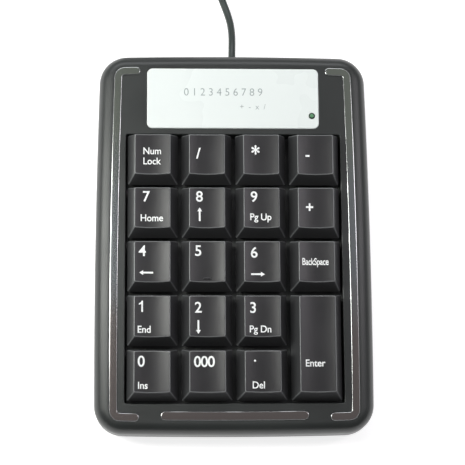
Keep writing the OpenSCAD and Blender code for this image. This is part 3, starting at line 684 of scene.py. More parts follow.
def stem_loop(z, x, y, r, rib=0.0, half=0.9):
    """A round stem or guide, with a rib or keyway on each side if rib is given."""
    made = []
    for i in range(24):
        a = 2 * math.pi * (i + 0.5) / 24
        px, py = r * math.cos(a), r * math.sin(a)
        lean = abs(math.degrees(math.asin(math.sin(a))))
        if rib and lean < 30:
            px = math.copysign(rib if lean < 15 else math.sqrt(r * r - half * half), px)
            py = math.copysign(half, py)
        made.append(on_deck(x + px, y + py, z))
    return made


def dish(x, depth):
    """Height of a key's top face at x: a shallow trough from front to back."""
    r = (TOP_W * TOP_W / 4 + depth * depth) / (2 * depth)
    x = min(abs(x), TOP_W / 2)
    return CAP_H - depth + r - math.sqrt(r * r - x * x)


def cap_loops(extra, edge, depth):
    """Loops of a keycap's outside from its rim to the middle of its top, in the key's own frame."""
    def section(t):
        w, d = CAP_W + (TOP_W - CAP_W) * t, CAP_D + (TOP_D - CAP_D) * t + extra
        return rounded(-w / 2, TOP_SHIFT * t - d / 2, w / 2, TOP_SHIFT * t + d / 2, 0.7 - 0.25 * t, 5, 12)

    rim, top = section(0), section(1)
    count = range(len(rim))

    def side(i, t):
        p = rim[i][0].lerp(top[i][0], t)
        return Vector((p.x, p.y, CAP_H * t))

    def on_top(p, k):
        hub = Vector((0, max(TOP_SHIFT - extra / 2, min(TOP_SHIFT + extra / 2, p.y))))
        flat = hub + (p.xy - hub) * k
        return Vector((flat.x, flat.y, dish(flat.x, depth)))

    brim = [1.0 for _ in count]
    for _ in range(6):
        brim = [dish(side(i, brim[i]).x, depth) / CAP_H for i in count]
    loops = [[Vector((*(rim[i][0] - rim[i][1] * out), z)) for i in count]
             for out, z in ((0.12, 0.0), (0.03, 0.04), (0.0, 0.14))]
    for part in (0.1, 0.45, 0.8):
        loops.append([side(i, brim[i] * part) for i in count])
    edge_line = [side(i, brim[i]) for i in count]
    below = [side(i, brim[i] - edge / CAP_H) for i in count]
    beyond = [on_top(edge_line[i], 1 - edge / 6.2) for i in count]
    loops.append(below)
    for k in (0.2, 0.4, 0.6, 0.8):
        loops.append([below[i] * (1 - k) ** 2 + edge_line[i] * 2 * k * (1 - k) + beyond[i] * k * k
                      for i in count])
    loops.append(beyond)
    for k in (0.9, 0.78, 0.62, 0.45, 0.28, 0.12):
        loops.append([on_top(edge_line[i], k) for i in count])
    return loops


def keycap(name, column, row, rows, edge, depth, material):
    """One keycap: dished top with crisp edges, sloping sides, hollow inside, stem and ribs."""
    x0, y0 = key_centre(column, row, rows)
    extra = (rows - 1) * PITCH
    skin = Skin()
    loops = cap_loops(extra, edge, depth)
    place = lambda v: on_deck(x0 + v.x, y0 + v.y, v.z)
    rings = [skin.ring([place(v) for v in loop]) for loop in loops]
    for low, high in zip(rings, rings[1:]):
        skin.bridge(low, high)
    # Painted light on the cap: the pale colour on the top edge and down each corner is painted highlight, and
    # the little on the sides is painted light.
    for level, ring in enumerate(rings[2:13], 2):
        for i, n in enumerate(ring):
            side_light = 0.8 if i % 17 in (2, 3) else 0.2
            skin.painted_light[n] = {7: 0.6, 8: 1.0, 9: 1.0, 10: 0.6}.get(level, side_light if level < 7 else 0.0)
    inner = []
    for z, w, d, s in ((5.4, TOP_W + 1.484 - 2.2, TOP_D + 1.092 - 2.2, 0.55),
                       (0.0, CAP_W - 2.2, CAP_D - 2.2, 0.0)):
        inner.append(rounded(-w / 2, s - (d + extra) / 2, w / 2, s + (d + extra) / 2, 0.4, 5, 12))
    inside_loops = [[on_deck(x0 + p.x, y0 + p.y, z) for p, _ in shape] for shape, z in zip(inner, (5.4, 0.0))]
    ceiling, floor = [skin.ring(loop) for loop in inside_loops]
    skin.bridge(ceiling, floor)
    skin.bridge(floor, rings[0])
    skin.fan(ceiling, on_deck(x0, y0 + 0.55, 5.4), up=False)
    skin.sheet(rings[-1], [], deck_plan)
    stem = skin.strip([stem_loop(z, x0, y0, 3.0 - c, rib - c if rib else 0) for z, c, rib in (
        (-3.2, 0.2, 3.6), (-3.0, 0.0, 3.6), (-0.35, 0.0, 3.6), (-0.3, 0.0, 0), (5.6, 0.0, 0))])
    skin.fan(stem[0], on_deck(x0, y0, -3.2), up=False)
    skin.fan(stem[-1], on_deck(x0, y0, 5.6))
    if rows > 1:
        for s in (-1, 1):
            y = y0 + s * CLIP_Y
            for jaw in CLIP_JAWS:
                block(skin, x0 + jaw, y - CLIP_T / 2, 0.05, x0 + jaw + 0.5, y + CLIP_T / 2, 5.6)
    if name == "key_5":
        low = dish(0, depth)
        bar = [skin.ring([on_deck(x0 + p.x, y0 + p.y, z) for p, _ in
                          rounded(-1.35 + c, -5.55 + c, 1.35 - c, -4.85 - c, 0.34 - c, 5)])
               for c, z in ((0.0, low - 0.3), (0.0, low + 0.2), (0.05, low + 0.3), (0.15, low + 0.37),
                            (0.3, low + 0.4))]
        for a, b in zip(bar, bar[1:]):
            skin.bridge(a, b)
        skin.sheet(bar[-1], [], deck_plan)
        skin.sheet(bar[0], [], deck_plan, up=False)
    return skin.make(name + "_cap", material, 28)


def block(skin, x0, y0, z0, x1, y1, z1, place=on_deck):
    """A closed box with slightly broken edges."""
    c = 0.08
    rings = skin.strip([loop_at(rounded(x0, y0, x1, y1, 0.15, 3), -o, z, place)
                        for o, z in ((c, z0), (0, z0 + c), (0, z1 - c), (c, z1))])
    plan = deck_plan if place is on_deck else table_plan
    skin.sheet(rings[0], [], plan, up=False)
    skin.sheet(rings[-1], [], plan)


def arrow(way):
    """A short printed arrow, 4.9 mm long, as a closed plan round its middle."""
    long, half, head, wing = 2.4, 0.31, 1.35, 0.85
    plan = [(-half, -long), (half, -long), (half, long - head), (wing, long - head), (0, long),
            (-wing, long - head), (-half, long - head)]
    turn = {"up": 0, "left": 90, "down": 180, "right": -90}[way]
    c, s = math.cos(math.radians(turn)), math.sin(math.radians(turn))
    return [(x * c - y * s, x * s + y * c) for x, y in plan]


# A plain digit one with a flag, which the built-in font lacks, 1 unit high
ONE = [(0.3, 0), (0.45, 0), (0.45, 1), (0.33, 1), (0.29, 0.9), (0.2, 0.82), (0.08, 0.77), (0.08, 0.63),
       (0.2, 0.67),
       (0.3, 0.73)]


def text_mesh(words, height, narrow=1.0, weight=0.0, spacing=1.0, slant=0.0):
    """Flat glyphs with their lower left corner at the origin, height mm tall, as a mesh in mm."""
    curve = bpy.data.curves.new("glyphs", "FONT")
    curve.body = words
    curve.resolution_u = 5
    curve.offset = weight
    curve.space_character = spacing
    curve.shear = slant
    source = bpy.data.objects.new("glyphs", curve)
    bpy.context.scene.collection.objects.link(source)
    bpy.context.view_layer.update()
    mesh = bpy.data.meshes.new_from_object(source.evaluated_get(bpy.context.evaluated_depsgraph_get()))
    bpy.data.objects.remove(source)
    scale = height / CAP_UNIT
    left = min((v.co.x for v in mesh.vertices), default=0)
    for v in mesh.vertices:
        v.co = Vector(((v.co.x - left) * scale * narrow, v.co.y * scale, 0))
    return mesh


CAP_UNIT = 0.73  # height of a digit in the built-in font, for a size of 1


def print_on(flat_meshes, name, surface, material, thick=0.03):
    """Joins flat prints, cuts them fine enough to follow a surface and gives them a thickness."""
    tool = bmesh.new()
    for mesh in flat_meshes:
        tool.from_mesh(mesh)
        bpy.data.meshes.remove(mesh)
    bmesh.ops.remove_doubles(tool, verts=tool.verts, dist=0.0005)
    bmesh.ops.triangulate(tool, faces=tool.faces)
    for _ in range(3):
        long = [e for e in tool.edges if abs(e.verts[0].co.x - e.verts[1].co.x) > 1.2]
        bmesh.ops.subdivide_edges(tool, edges=long, cuts=1)
        bmesh.ops.triangulate(tool, faces=[f for f in tool.faces if len(f.verts) > 3])
    tool.verts.index_update()
    flat = [v.co.copy() for v in tool.verts]
    faces = []
    for f in tool.faces:
        corners = [v.index for v in f.verts]
        faces.append(corners if f.normal.z > 0 else corners[::-1])
    tool.free()
    count = len(flat)
    skin = Skin()
    skin.ring([surface(p.x, p.y, thick) for p in flat] + [surface(p.x, p.y, -0.04) for p in flat])
    sides = {(a, b) for f in faces for a, b in zip(f, f[1:] + f[:1])}
    for f in faces:
        skin.faces += [tuple(f), tuple(n + count for n in reversed(f))]
    skin.faces += [(b, a, a + count, b + count) for a, b in sorted(sides) if (b, a) not in sides]
    return skin.make(name, material, 30, closed=False)


def smooth_path(points, per=6):
    """Catmull-Rom points through a route."""
    pts = [Vector(p) for p in points]
    pts = [pts[0] * 2 - pts[1], *pts, pts[-1] * 2 - pts[-2]]
    made = []
    for a, b, c, d in zip(pts, pts[1:], pts[2:], pts[3:]):
        for i in range(per):
            t = i / per
            made.append(0.5 * (2 * b + (c - a) * t + (2 * a - 5 * b + 4 * c - d) * t * t
                               + (3 * b - a - 3 * c + d) * t ** 3))
    return made + [pts[-2]]


LEAD_ROUTE = [
    (0.5, 61, 8.5), (0.5, 65, 8.5), (0.5, 69, 8.5), (0.5, 73, 8.5), (0.6, 77, 7.9), (0.7, 81, 6.6),
    (0.6, 85, 4.8), (0.2, 89, 3.1), (-0.7, 93, 2), (-2, 97, 1.5), (-3.4, 101, 1.4), (-4.8, 105, 1.4),
    (-6.2, 109, 1.4), (-7.6, 113, 1.4), (-9.1, 117, 1.5), (-10.6, 121, 1.7), (-12, 124.5, 1.9)]
TAIL_ROUTE = [
    (-17.4, 107, 9.6), (-14.4, 108.7, 8.2), (-11.4, 110.2, 6.4), (-8.4, 111.5, 5), (-5, 112.7, 4.2),
    (-1.5, 113.5, 4), (2, 113.9, 4), (5, 114, 4), (7.6, 114, 4)]
COIL = (-29.5, 120.5)


def coil_points():
    """Turns of the coil, three abreast and four high, wound from outside in and back out."""
    ease = lambda t: t * t * (3 - 2 * t)
    made = []
    radii = [17.75, 15.0, 12.25]
    for layer in range(4):
        order = radii if layer % 2 == 0 else radii[::-1]
        for turn in range(3):
            last = layer == 3 and turn == 2
            stop = 280 if last else 360
            step = 10
            for a in range(0, stop, step):
                r, z = order[turn], 1.95 + 2.75 * layer
                if turn < 2 and a >= 240:
                    r += (order[turn + 1] - order[turn]) * ease(min(1, (a - 240) / 60))
                if turn == 2 and a >= 300 and not last:
                    z += 2.75 * ease((a - 300) / 60)
                t = math.radians(20 + a)
                made.append((COIL[0] + r * math.cos(t), COIL[1] + r * math.sin(t), z))
    t = math.radians(300)
    made.append((COIL[0] + 17.75 * math.cos(t), COIL[1] + 17.75 * math.sin(t), 10.2))
    return made


# Settings -----------------------------------------------------------------------


class KeypadSizes(bpy.types.PropertyGroup):
    """Sizes of the keypad's visible detail"""

    shoulder: FloatProperty(name="Shoulder radius",
                            description="Radius of the rolled edge round the top case",
                            default=5.3 * MM, min=4.5 * MM, max=5.5 * MM, unit="LENGTH")
    key_edge: FloatProperty(name="Key edge", description="Rounding of the edges of a key's top",
                            default=0.28 * MM, min=0.1 * MM, max=0.8 * MM, unit="LENGTH")
    key_dish: FloatProperty(name="Key dish", description="Depth of the trough across a key's top",
                            default=0.65 * MM, min=0.5 * MM, max=1.0 * MM, unit="LENGTH")
    digit: FloatProperty(name="Digit height", description="Height of the printed digits",
                         default=3.85 * MM, min=3 * MM, max=5 * MM, unit="LENGTH")
    word: FloatProperty(name="Word height", description="Height of the capitals in printed words",
                        default=2.5 * MM, min=2 * MM, max=3 * MM, unit="LENGTH")
    trim_rise: FloatProperty(name="Trim rise", description="How far the bright strips stand above the case",
                             default=0.3 * MM, min=0.1 * MM, max=0.5 * MM, unit="LENGTH")
    lead: FloatProperty(name="Lead diameter", description="Diameter of the lead's jacket",
                        default=2.7 * MM, min=2.7 * MM, max=2.7 * MM, unit="LENGTH")
    light: FloatProperty(name="Light", description="Power of the main soft light",
                         default=1.1, min=0.1, max=20, unit="POWER")
    sides: IntProperty(name="Lead sides", description="Sides of the lead's round section", default=18,
                       min=8, max=32)


def colour(label, words, code):
    return FloatVectorProperty(name=label, description=words, default=srgb(code), subtype="COLOR", size=3,
                               min=0, max=1)


class KeypadColours(bpy.types.PropertyGroup):
    """Colours of the keypad's finishes"""

    case: colour("Case", "Satin ABS of the top case", "#272a29")
    base: colour("Base", "Matt ABS of the bottom case", "#232627")
    keys: colour("Keys", "Fine satin ABS of the keycaps", "#242325")
    # Key edges: the painted highlight colour on the keycaps' edges and corners, also used as painted light on
    # their sides.
    key_edge_highlight: colour("Key edges", "Rubbed edges of the keycaps", "#77797a")
    legend: colour("Legends", "White ink on the keys", "#f2f4f3")
    plate: colour("Plate", "Pearl white label plate", "#e6ecea")
    plate_print: colour("Plate print", "Faint grey print on the plate", "#959f9f")
    # The three trim colours are painted reflection: greenish grey at the rear, brown at the front, as the
    # strips mirror their surroundings.
    trim_reflection_rear: colour("Trim, rear", "Tint of the strips near the back", "#949a90")
    trim_reflection_middle: colour("Trim, middle", "Tint of the strips halfway", "#94989a")
    trim_reflection_front: colour("Trim, front", "Tint of the strips near the front", "#8a827f")
    lead: colour("Lead", "Vinyl jacket of the lead", "#2e3633")
    plug: colour("Plug", "Vinyl of the plug and the grommet", "#1d2020")
    floor: colour("Floor", "Plain pale floor", "#cfcfcf")


def sizes():
    return bpy.context.scene.keypad_sizes


def colours():
    return bpy.context.scene.keypad_colours


def mm(value):
    """A length property in millimetres."""
    return value / MM


# Operators ----------------------------------------------------------------------


class KEYPAD_OT_stage(bpy.types.Operator):
    """Sets the camera, the floor and the soft studio light"""

    bl_idname = "keypad.stage"
    bl_label = "Stage"

    def execute(self, context):
        scene = context.scene
        lens = bpy.data.cameras.new("camera")
        lens.lens, lens.sensor_width = 114.43, 36.0
        lens.clip_start, lens.clip_end = 0.02, 20
        camera = bpy.data.objects.new("camera", lens)
        scene.collection.objects.link(camera)
        right, up = Vector((0.999099, -0.009504, 0.041366)), Vector((-0.001010, 0.969008, 0.247028))
        back = right.cross(up)
        turn = Matrix((right, up, back)).transposed().to_4x4()
        camera.matrix_world = Matrix.Translation((-0.022563, -0.126230, 0.525879)) @ turn
        scene.camera = camera

        skin = Skin()
        skin.faces.append(tuple(skin.ring([Vector((x, y, 0)) for x,
                                           y in ((-3, -3), (3, -3), (3, 3), (-3, 3))])))
        # Opal acrylic table lit softly from below, so that shadows all but vanish on it.
        made, tree, shader = blank("opal_acrylic_light_table", 0.9)
        mottled(tree, shader, colours().floor, 0.01, 300, (0.85, 0.95), 2.0, 0.01)
        shader.inputs["Emission Color"].default_value = (1, 1, 1, 1)
        shader.inputs["Emission Strength"].default_value = 0.75
        skin.make("floor", made, closed=False)

        world = bpy.data.worlds.new("studio")
        scene.world = world
        world.use_nodes = True
        tree = world.node_tree
        spot = add(tree, "ShaderNodeTexCoord").outputs["Generated"]
        ways = add(tree, "ShaderNodeSeparateXYZ", links={"Vector": spot})
        sky = ramp(tree, ways.outputs["Z"], [
            (0.0, (0.55, 0.55, 0.56)), (0.35, (0.36, 0.36, 0.37)), (0.7, (0.42, 0.41, 0.43)),
            (0.95, (0.42, 0.42, 0.43))])
        front = add(tree, "ShaderNodeMapRange",
                    {"From Min": -0.75, "From Max": 0.5, "To Min": 0.36, "To Max": 1.0},
                    {"Value": ways.outputs["Y"]})
        tree.links.new(sky, tree.nodes["Background"].inputs["Color"])
        tree.links.new(front.outputs["Result"], tree.nodes["Background"].inputs["Strength"])

        def panel(name, spot, aim, wide, tall, power, tint):
            light = bpy.data.lights.new(name, "AREA")
            light.shape, light.size, light.size_y = "RECTANGLE", wide, tall
            light.energy, light.color = power, tint
            lamp = bpy.data.objects.new(name, light)
            scene.collection.objects.link(lamp)
            lamp.location = spot
            lamp.rotation_euler = (Vector(aim) - Vector(spot)).to_track_quat("-Z", "Y").to_euler()

        power = sizes().light
        panel("key_panel", (-0.275, 0.03, 0.3), (-0.04, 0.0, 0), 0.12, 0.42, power * 1.3, (0.98, 1.0, 0.95))
        panel("rear_panel", (-0.1, 0.62, 0.62), (0, 0, 0), 0.9, 0.3, power * 1.9, (0.95, 0.97, 1.0))
        panel("right_panel", (0.6, 0.15, 0.8), (0, 0, 0), 0.14, 0.7, power * 1.5, (1.0, 0.94, 1.0))
        scene.view_settings.view_transform = "Standard"
        scene.view_settings.look = "None"
        return {"FINISHED"}


class KEYPAD_OT_lead(bpy.types.Operator):
    """Winds the lead: out of the case, into a tied coil, and on to its plug"""

    bl_idname = "keypad.lead"
    bl_label = "Lead"

    def execute(self, context):
        col, size = colours(), sizes()
        route = smooth_path([*LEAD_ROUTE, *coil_points(), *TAIL_ROUTE], 2)
        path = [p * MM for p in route]
        line = bpy.data.curves.new("lead_line", "CURVE")
        line.dimensions = "3D"
        spline = line.splines.new("POLY")
        spline.points.add(len(path) - 1)
        for point, spot in zip(spline.points, path):
            point.co = (*spot, 1)
        source = bpy.data.objects.new("lead_line", line)
        context.scene.collection.objects.link(source)
        vinyl = soft_vinyl("pvc_jacket_satin", col.lead, 0.2)
        values = {"Radius": size.lead / 2, "Sides": size.sides, "Finish": vinyl}
        lead = run_tree(sweep_tree(), source, values, "lead_jacket", 40)
        place_piece(lead, "lead_jacket", "case", "lead", "lead_coil", "plug_tail")
        tie = self.tie(plain_plastic("nylon_hook_band_black", srgb("#151617"), 0.8, 2.2))
        place_piece(tie, "tie_plastic", "case", "coil_tie")
        plug = self.plug(soft_vinyl("pvc_overmould_black", col.plug, 1.1))
        place_piece(plug, "plug_plastic", "case", "plug_body")
        relief = self.relief(bpy.data.materials["pvc_overmould_black"])
        place_piece(relief, "plug_plastic", "case", "strain_relief")
        return {"FINISHED"}

    def tie(self, material):
        """A band round the coil's turns with a lapped end."""
        half_r, low, high, thick = 4.15, 0.55, 11.65, 0.5
        section = []
        for p, n in rounded(-half_r, low, half_r, high, 0.9, 6, 6):
            section.append((p, n))
        skin = Skin()
        spots = []
        for out, edge in ((0.0, -2.9), (0.12, -3.0), (thick - 0.12, -3.0), (thick, -2.9), (thick, -1.5),
                          (thick, 0.0),
                          (thick, 1.5), (thick, 2.9), (thick - 0.12, 3.0), (0.12, 3.0), (0.0, 2.9),
                          (0.0, 0.0)):
            loop = []
            for p, n in section:
                q = p + n * out
                turn = math.radians(165) + edge / 15.0
                r = 15.0 + q.x
                loop.append(on_table(COIL[0] + r * math.cos(turn), COIL[1] + r * math.sin(turn), q.y))
            spots.append(loop)
        rings = [skin.ring(loop) for loop in spots]
        for a, b in zip(rings, rings[1:] + rings[:1]):
            skin.bridge(b, a)
        return skin.make("coil_band", material, 40)

    def plug(self, material):
        """The plug's grip: a ribbed neck, a swelling body with finger grooves and a soft front edge."""
        skin = Skin()
        steps = [(0.0, 2.1, 2.1, 2.0), (0.3, 2.25, 2.25, 2.2)]
        for i in range(4):
            x = 0.6 + i * 1.6
            r = 2.35 + i * 0.22
            steps += [(x, r, r, r * 0.95), (x + 0.9, r + 0.1, r + 0.1, r),
                      (x + 1.0, r - 0.3, r - 0.3, r * 0.8),
                      (x + 1.5, r - 0.28, r - 0.28, r * 0.8)]
        steps += [(7.1, 4.6, 3.1, 2.2), (7.6, 5.1, 3.35, 2.3), (9.0, 6.2, 3.7, 2.4), (11.0, 7.3, 3.95, 2.4),
                  (13.0, 7.55, 4.0, 2.4)]
        for i in range(4):
            x = 14.0 + i * 1.9
            steps += [(x, 7.65, 4.0, 2.4), (x + 0.25, 7.35, 3.7, 2.2), (x + 0.75, 7.35, 3.7, 2.2),
                      (x + 1.0, 7.7, 4.0, 2.4)]
        steps += [(24.6, 7.8, 4.0, 2.4), (25.5, 7.7, 3.9, 2.4), (25.85, 7.5, 3.7, 2.3), (26.0, 7.2, 3.4, 2.2)]
        loops = []
        for x, w, h, r in steps:
            loops.append([on_table(4 + x, 114 + p.x, 4 + p.y) for p,
                          _ in rounded(-w, -h, w, h, min(r, h - 0.02), 6, 3)])
        rings = [skin.ring(loop) for loop in loops]
        for a, b in zip(rings, rings[1:]):
            skin.bridge(b, a)
        made_back = skin.ring([on_table(4, 114 + p.x, 4 + p.y) for p,
                               _ in rounded(-1.36, -1.36, 1.36, 1.36, 1.3, 6, 3)])
        skin.bridge(rings[0], made_back)
        deep = skin.ring([on_table(8, 114 + p.x, 4 + p.y) for p,
                          _ in rounded(-1.36, -1.36, 1.36, 1.36, 1.3, 6, 3)])
        skin.bridge(made_back, deep)
        skin.fan(deep, on_table(8, 114, 4))
        mouth = skin.ring([on_table(30, 114 + p.x, 4 + p.y) for p,
                           _ in rounded(-6.03, -2.28, 6.03, 2.28, 0.3, 6, 3)])
        skin.bridge(mouth, rings[-1])
        base = skin.ring([on_table(24.2, 114 + p.x, 4 + p.y) for p,
                          _ in rounded(-6.03, -2.28, 6.03, 2.28, 0.3, 6, 3)])
        skin.bridge(base, mouth)
        skin.fan(base, on_table(24.2, 114, 4), up=False)
        return skin.make("plug_grip", material, 50)

    def relief(self, material):
        """The grommet: a flange inside, a neck in the wall and a short ribbed taper."""
        skin = Skin()
        steps = [(64.0, 4.0), (65.45, 4.0), (65.5, 2.45), (67.85, 2.45), (67.9, 3.05), (68.6, 2.95),
                 (68.75, 2.7),
                 (69.1, 2.7), (69.25, 2.75), (69.9, 2.6), (70.05, 2.35), (70.4, 2.35), (70.55, 2.4),
                 (71.3, 2.2), (71.5, 2.0)]
        loops = []
        for y, r in steps:
            low = PART_Z + 0.05 - 8.5 if y < 67.87 else -9
            loops.append([on_table(0.5 + r * math.cos(a), y, 8.5 + max(low, r * math.sin(a)))
                          for a in (2 * math.pi * i / 32 for i in range(32))])
        bore = [[on_table(0.5 + 1.36 * math.cos(a), y, 8.5 + 1.36 * math.sin(a))
                 for a in (2 * math.pi * i / 32 for i in range(32))] for y in (71.4, 64.0)]
        rings = [skin.ring(loop) for loop in [*loops, *bore]]
        for a, b in zip(rings, rings[1:] + rings[:1]):
            skin.bridge(b, a)
        return skin.make("lead_grommet", material, 40)


class KEYPAD_OT_top_case(bpy.types.Operator):
    """Builds the top case: rolled shoulder, key well with its guides, plate recess and trim grooves"""

    bl_idname = "keypad.top_case"
    bl_label = "Top case"

    def execute(self, context):
        skin, plan, flat = Skin(), case_plan(), flat_plan()
        r = mm(sizes().shoulder)
        wall = BEZEL_Z - r

        def upright(out, z):
            return [Vector((v.x, v.y, z * MM)) for v in loop_at(plan, out, wall)]

        loops = [loop_at(plan, -5.3, -0.7), loop_at(plan, -2.2, wall), upright(-2.2, PART_Z),
                 upright(-0.35, PART_Z),
                 upright(-0.1, PART_Z + 0.08), upright(0, PART_Z + 0.35), upright(0, PART_Z + 0.8)]
        for i in range(13):
            a = math.pi / 2 * i / 12
            rolled = [p.lerp(q, 1 - math.cos(a)) for (p, _), (q, _) in zip(plan, flat)]
            loops.append([on_deck(p.x, p.y, BEZEL_Z - r * (1 - math.sin(a))) for p in rolled])
        loops.append(loop_at(flat, -0.06, BEZEL_Z))
        rings = skin.strip(loops)
        well = rounded(*WELL, 0.8, 6, 10)
        floor_holes, under_holes, top_holes = [], [], []
        shaft = skin.strip(hole_loops(well, BEZEL_Z, WELL_Z, 0.3, ring=0.1, floor_fillet=0.4))
        top_holes.append(shaft[0])
        for shape in (ribbon(trim_path(), 1.505), ribbon(flipped(trim_path()), 1.505),
                      ribbon(bar_path(), 1.63)):
            groove = skin.strip(hole_loops(shape, BEZEL_Z, 0.7, 0.06, 3, 0.05))
            top_holes.append(groove[0])
            skin.sheet(groove[-1], [], deck_plan)
        w, d, y = PLATE
        lens = circle(*LED, 1.18, 24)
        through = skin.strip([loop_at(lens, 0, z) for z in (0.5, -0.7)])
        recess = rounded(-w / 2 - 0.08, y - d / 2 - 0.08, w / 2 + 0.08, y + d / 2 + 0.08, 2.05, 10, 6)
        bed = skin.strip(hole_loops(recess, BEZEL_Z, 0.5, 0.18, 3, 0.1))
        top_holes.append(bed[0])
        skin.sheet(bed[-1], [through[0]], deck_plan)
        skin.sheet(rings[-1], top_holes, deck_plan)
        for _, column, row, rows, _ in KEYS:
            x, y = key_centre(column, row, rows)
            tube = [stem_loop(z, x, y, 4.5 + out) for out,
                    z in ((0.3, WELL_Z), (0.08, WELL_Z + 0.08), (0, WELL_Z + 0.3),
                    (0, 0.7), (-0.1, 0.92), (-0.3, 1.0))]
            tube += [stem_loop(z, x, y, 3.06 + out, rib, 1.0) for out, z, rib in (
                (0.25, 1.0, 0), (0.06, 0.92, 0), (0, 0.75, 0), (0, -0.18, 0), (0, -0.2, 3.7),
                (0, DECK_UNDER, 3.7))]
            guide = skin.strip(tube)
            floor_holes.append(guide[0])
            under_holes.append(guide[-1])
        skin.sheet(shaft[-1], floor_holes, deck_plan)
        box = rounded(WELL[0] - 1.6, WELL[1] - 1.6, WELL[2] + 1.6, WELL[3] + 1.6, 1.0, 4)
        sleeve = skin.strip([loop_at(box, 0, DECK_UNDER), loop_at(box, 0, -0.7)])
        skin.sheet(sleeve[0], under_holes, deck_plan, up=False)
        skin.sheet(rings[0], [sleeve[1], through[1]], deck_plan, up=False)
        ex, ey = key_centre(3, 3, 2)
        for s in (-1, 1):
            y0 = ey + s * 11.45
            block(skin, ex - 5.0, y0 - 0.8, WELL_Z - 0.2, ex - 3.45, y0 + 0.8, 1.0)
            block(skin, ex - 3.6, y0 - 0.8, WELL_Z - 0.2, ex - 1.0, y0 + 0.8, -1.5)
            block(skin, ex - 3.6, y0 - 0.8, 0.3, ex - 1.0, y0 + 0.8, 1.0)
        self.posts(skin)
        made = skin.make("top_shell", case_abs(colours().case), 30)
        place_piece(made, "case_plastic", "case", "top_case")
        return {"FINISHED"}

    def posts(self, skin):
        """Screw posts and ribs on the inside."""
        for x, y in POSTS:
            high = 19.6 + (y + 9.15) * math.tan(LEAN) - 0.5
            self.tube(skin, x, y, PART_Z, high, 3.2, 1.25, on_table)
        for x in (-PITCH, PITCH):
            for row in DECK_POST_ROWS:
                self.tube(skin, x, KEY_Y0 + row * PITCH, -9.35, DECK_UNDER - 0.05, 2.2, 1.0, on_deck)
        for x, y in ((-26, 66), (26, 66), (-22.5, 53.9), (22.5, 53.9)):
            self.tube(skin, x, y, -9.35, -0.6, 2.5, 1.0, on_deck)
        block(skin, -18, 53.1, -7.7, 18, 54.7, -0.5)

    def tube(self, skin, x, y, low, high, outer, bore, place):
        deep = low + (high - low) * 0.8
        rings = skin.strip([loop_at(circle(x, y, r, 24), 0, z, place) for r, z in (
            (bore, deep), (bore, low + 0.2), (bore + 0.2, low), (outer - 0.1, low), (outer, low + 0.1),
            (outer, high))])
        skin.fan(rings[-1], place(x, y, high))
        skin.fan(rings[0], place(x, y, deep), up=False)


class KEYPAD_OT_bottom_case(bpy.types.Operator):
    """Builds the bottom case: chamfered tray with a rebate, screw wells and foot recesses"""

    bl_idname = "keypad.bottom_case"
    bl_label = "Bottom case"

    def execute(self, context):
        skin, plan = Skin(), case_plan()

        def level(out, z):
            return [Vector((v.x, v.y, z * MM)) for v in loop_at(plan, out, -3.8)]

        profile = [(-3.6, 3.2), (-3.2, 3.3), (-2.6, 5.0), (-3.5, 5.2), (-3.5, 7.3), (-3.4, 7.4), (-2.4, 7.4),
                   (-2.3, 7.3), (-2.3, 5.98), (-0.55, 5.98), (-0.33, 5.9), (-0.28, 5.7), (-0.4, 4.8),
                   (-0.75, 3.2),
                   (-1.0, 2.4), (-1.3, 1.85), (-1.75, 1.4), (-2.2, 1.22), (-2.4, 1.2), (-2.5, 1.2)]
        rings = [skin.ring(level(out, z)) for out, z in profile]
        for a, b in zip(rings, rings[1:]):
            skin.bridge(b, a)
        under = []
        for x, y in POSTS:
            well = skin.strip([loop_at(circle(x, y, r, 28), 0, z, on_table) for r, z in (
                (2.8, 3.1), (2.8, 1.25), (2.84, 1.2))])
            under.append(well[-1])
            skin.sheet(well[0], [], table_plan, up=False)
            column = skin.strip([loop_at(circle(x, y, r, 28), 0, z, on_table) for r, z in (
                (3.2, 3.15), (3.2, 5.9), (3.1, 6.0))])
            skin.sheet(column[0], [], table_plan, up=False)
            skin.sheet(column[-1], [], table_plan)
        for x, y in FEET:
            pocket = skin.strip([loop_at(circle(x, y, r, 32), 0, z, on_table) for r, z in (
                (5.1, 2.0), (5.1, 1.35), (5.25, 1.2), (5.35, 1.2))])
            under.append(pocket[-1])
            skin.sheet(pocket[0], [], table_plan, up=False)
        skin.sheet(rings[-1], under, table_plan, up=False)
        skin.sheet(rings[0], [], table_plan)
        made = skin.make("bottom_tray", base_abs(colours().base), 30)
        place_piece(made, "bottom_plastic", "case", "bottom_case")
        return {"FINISHED"}


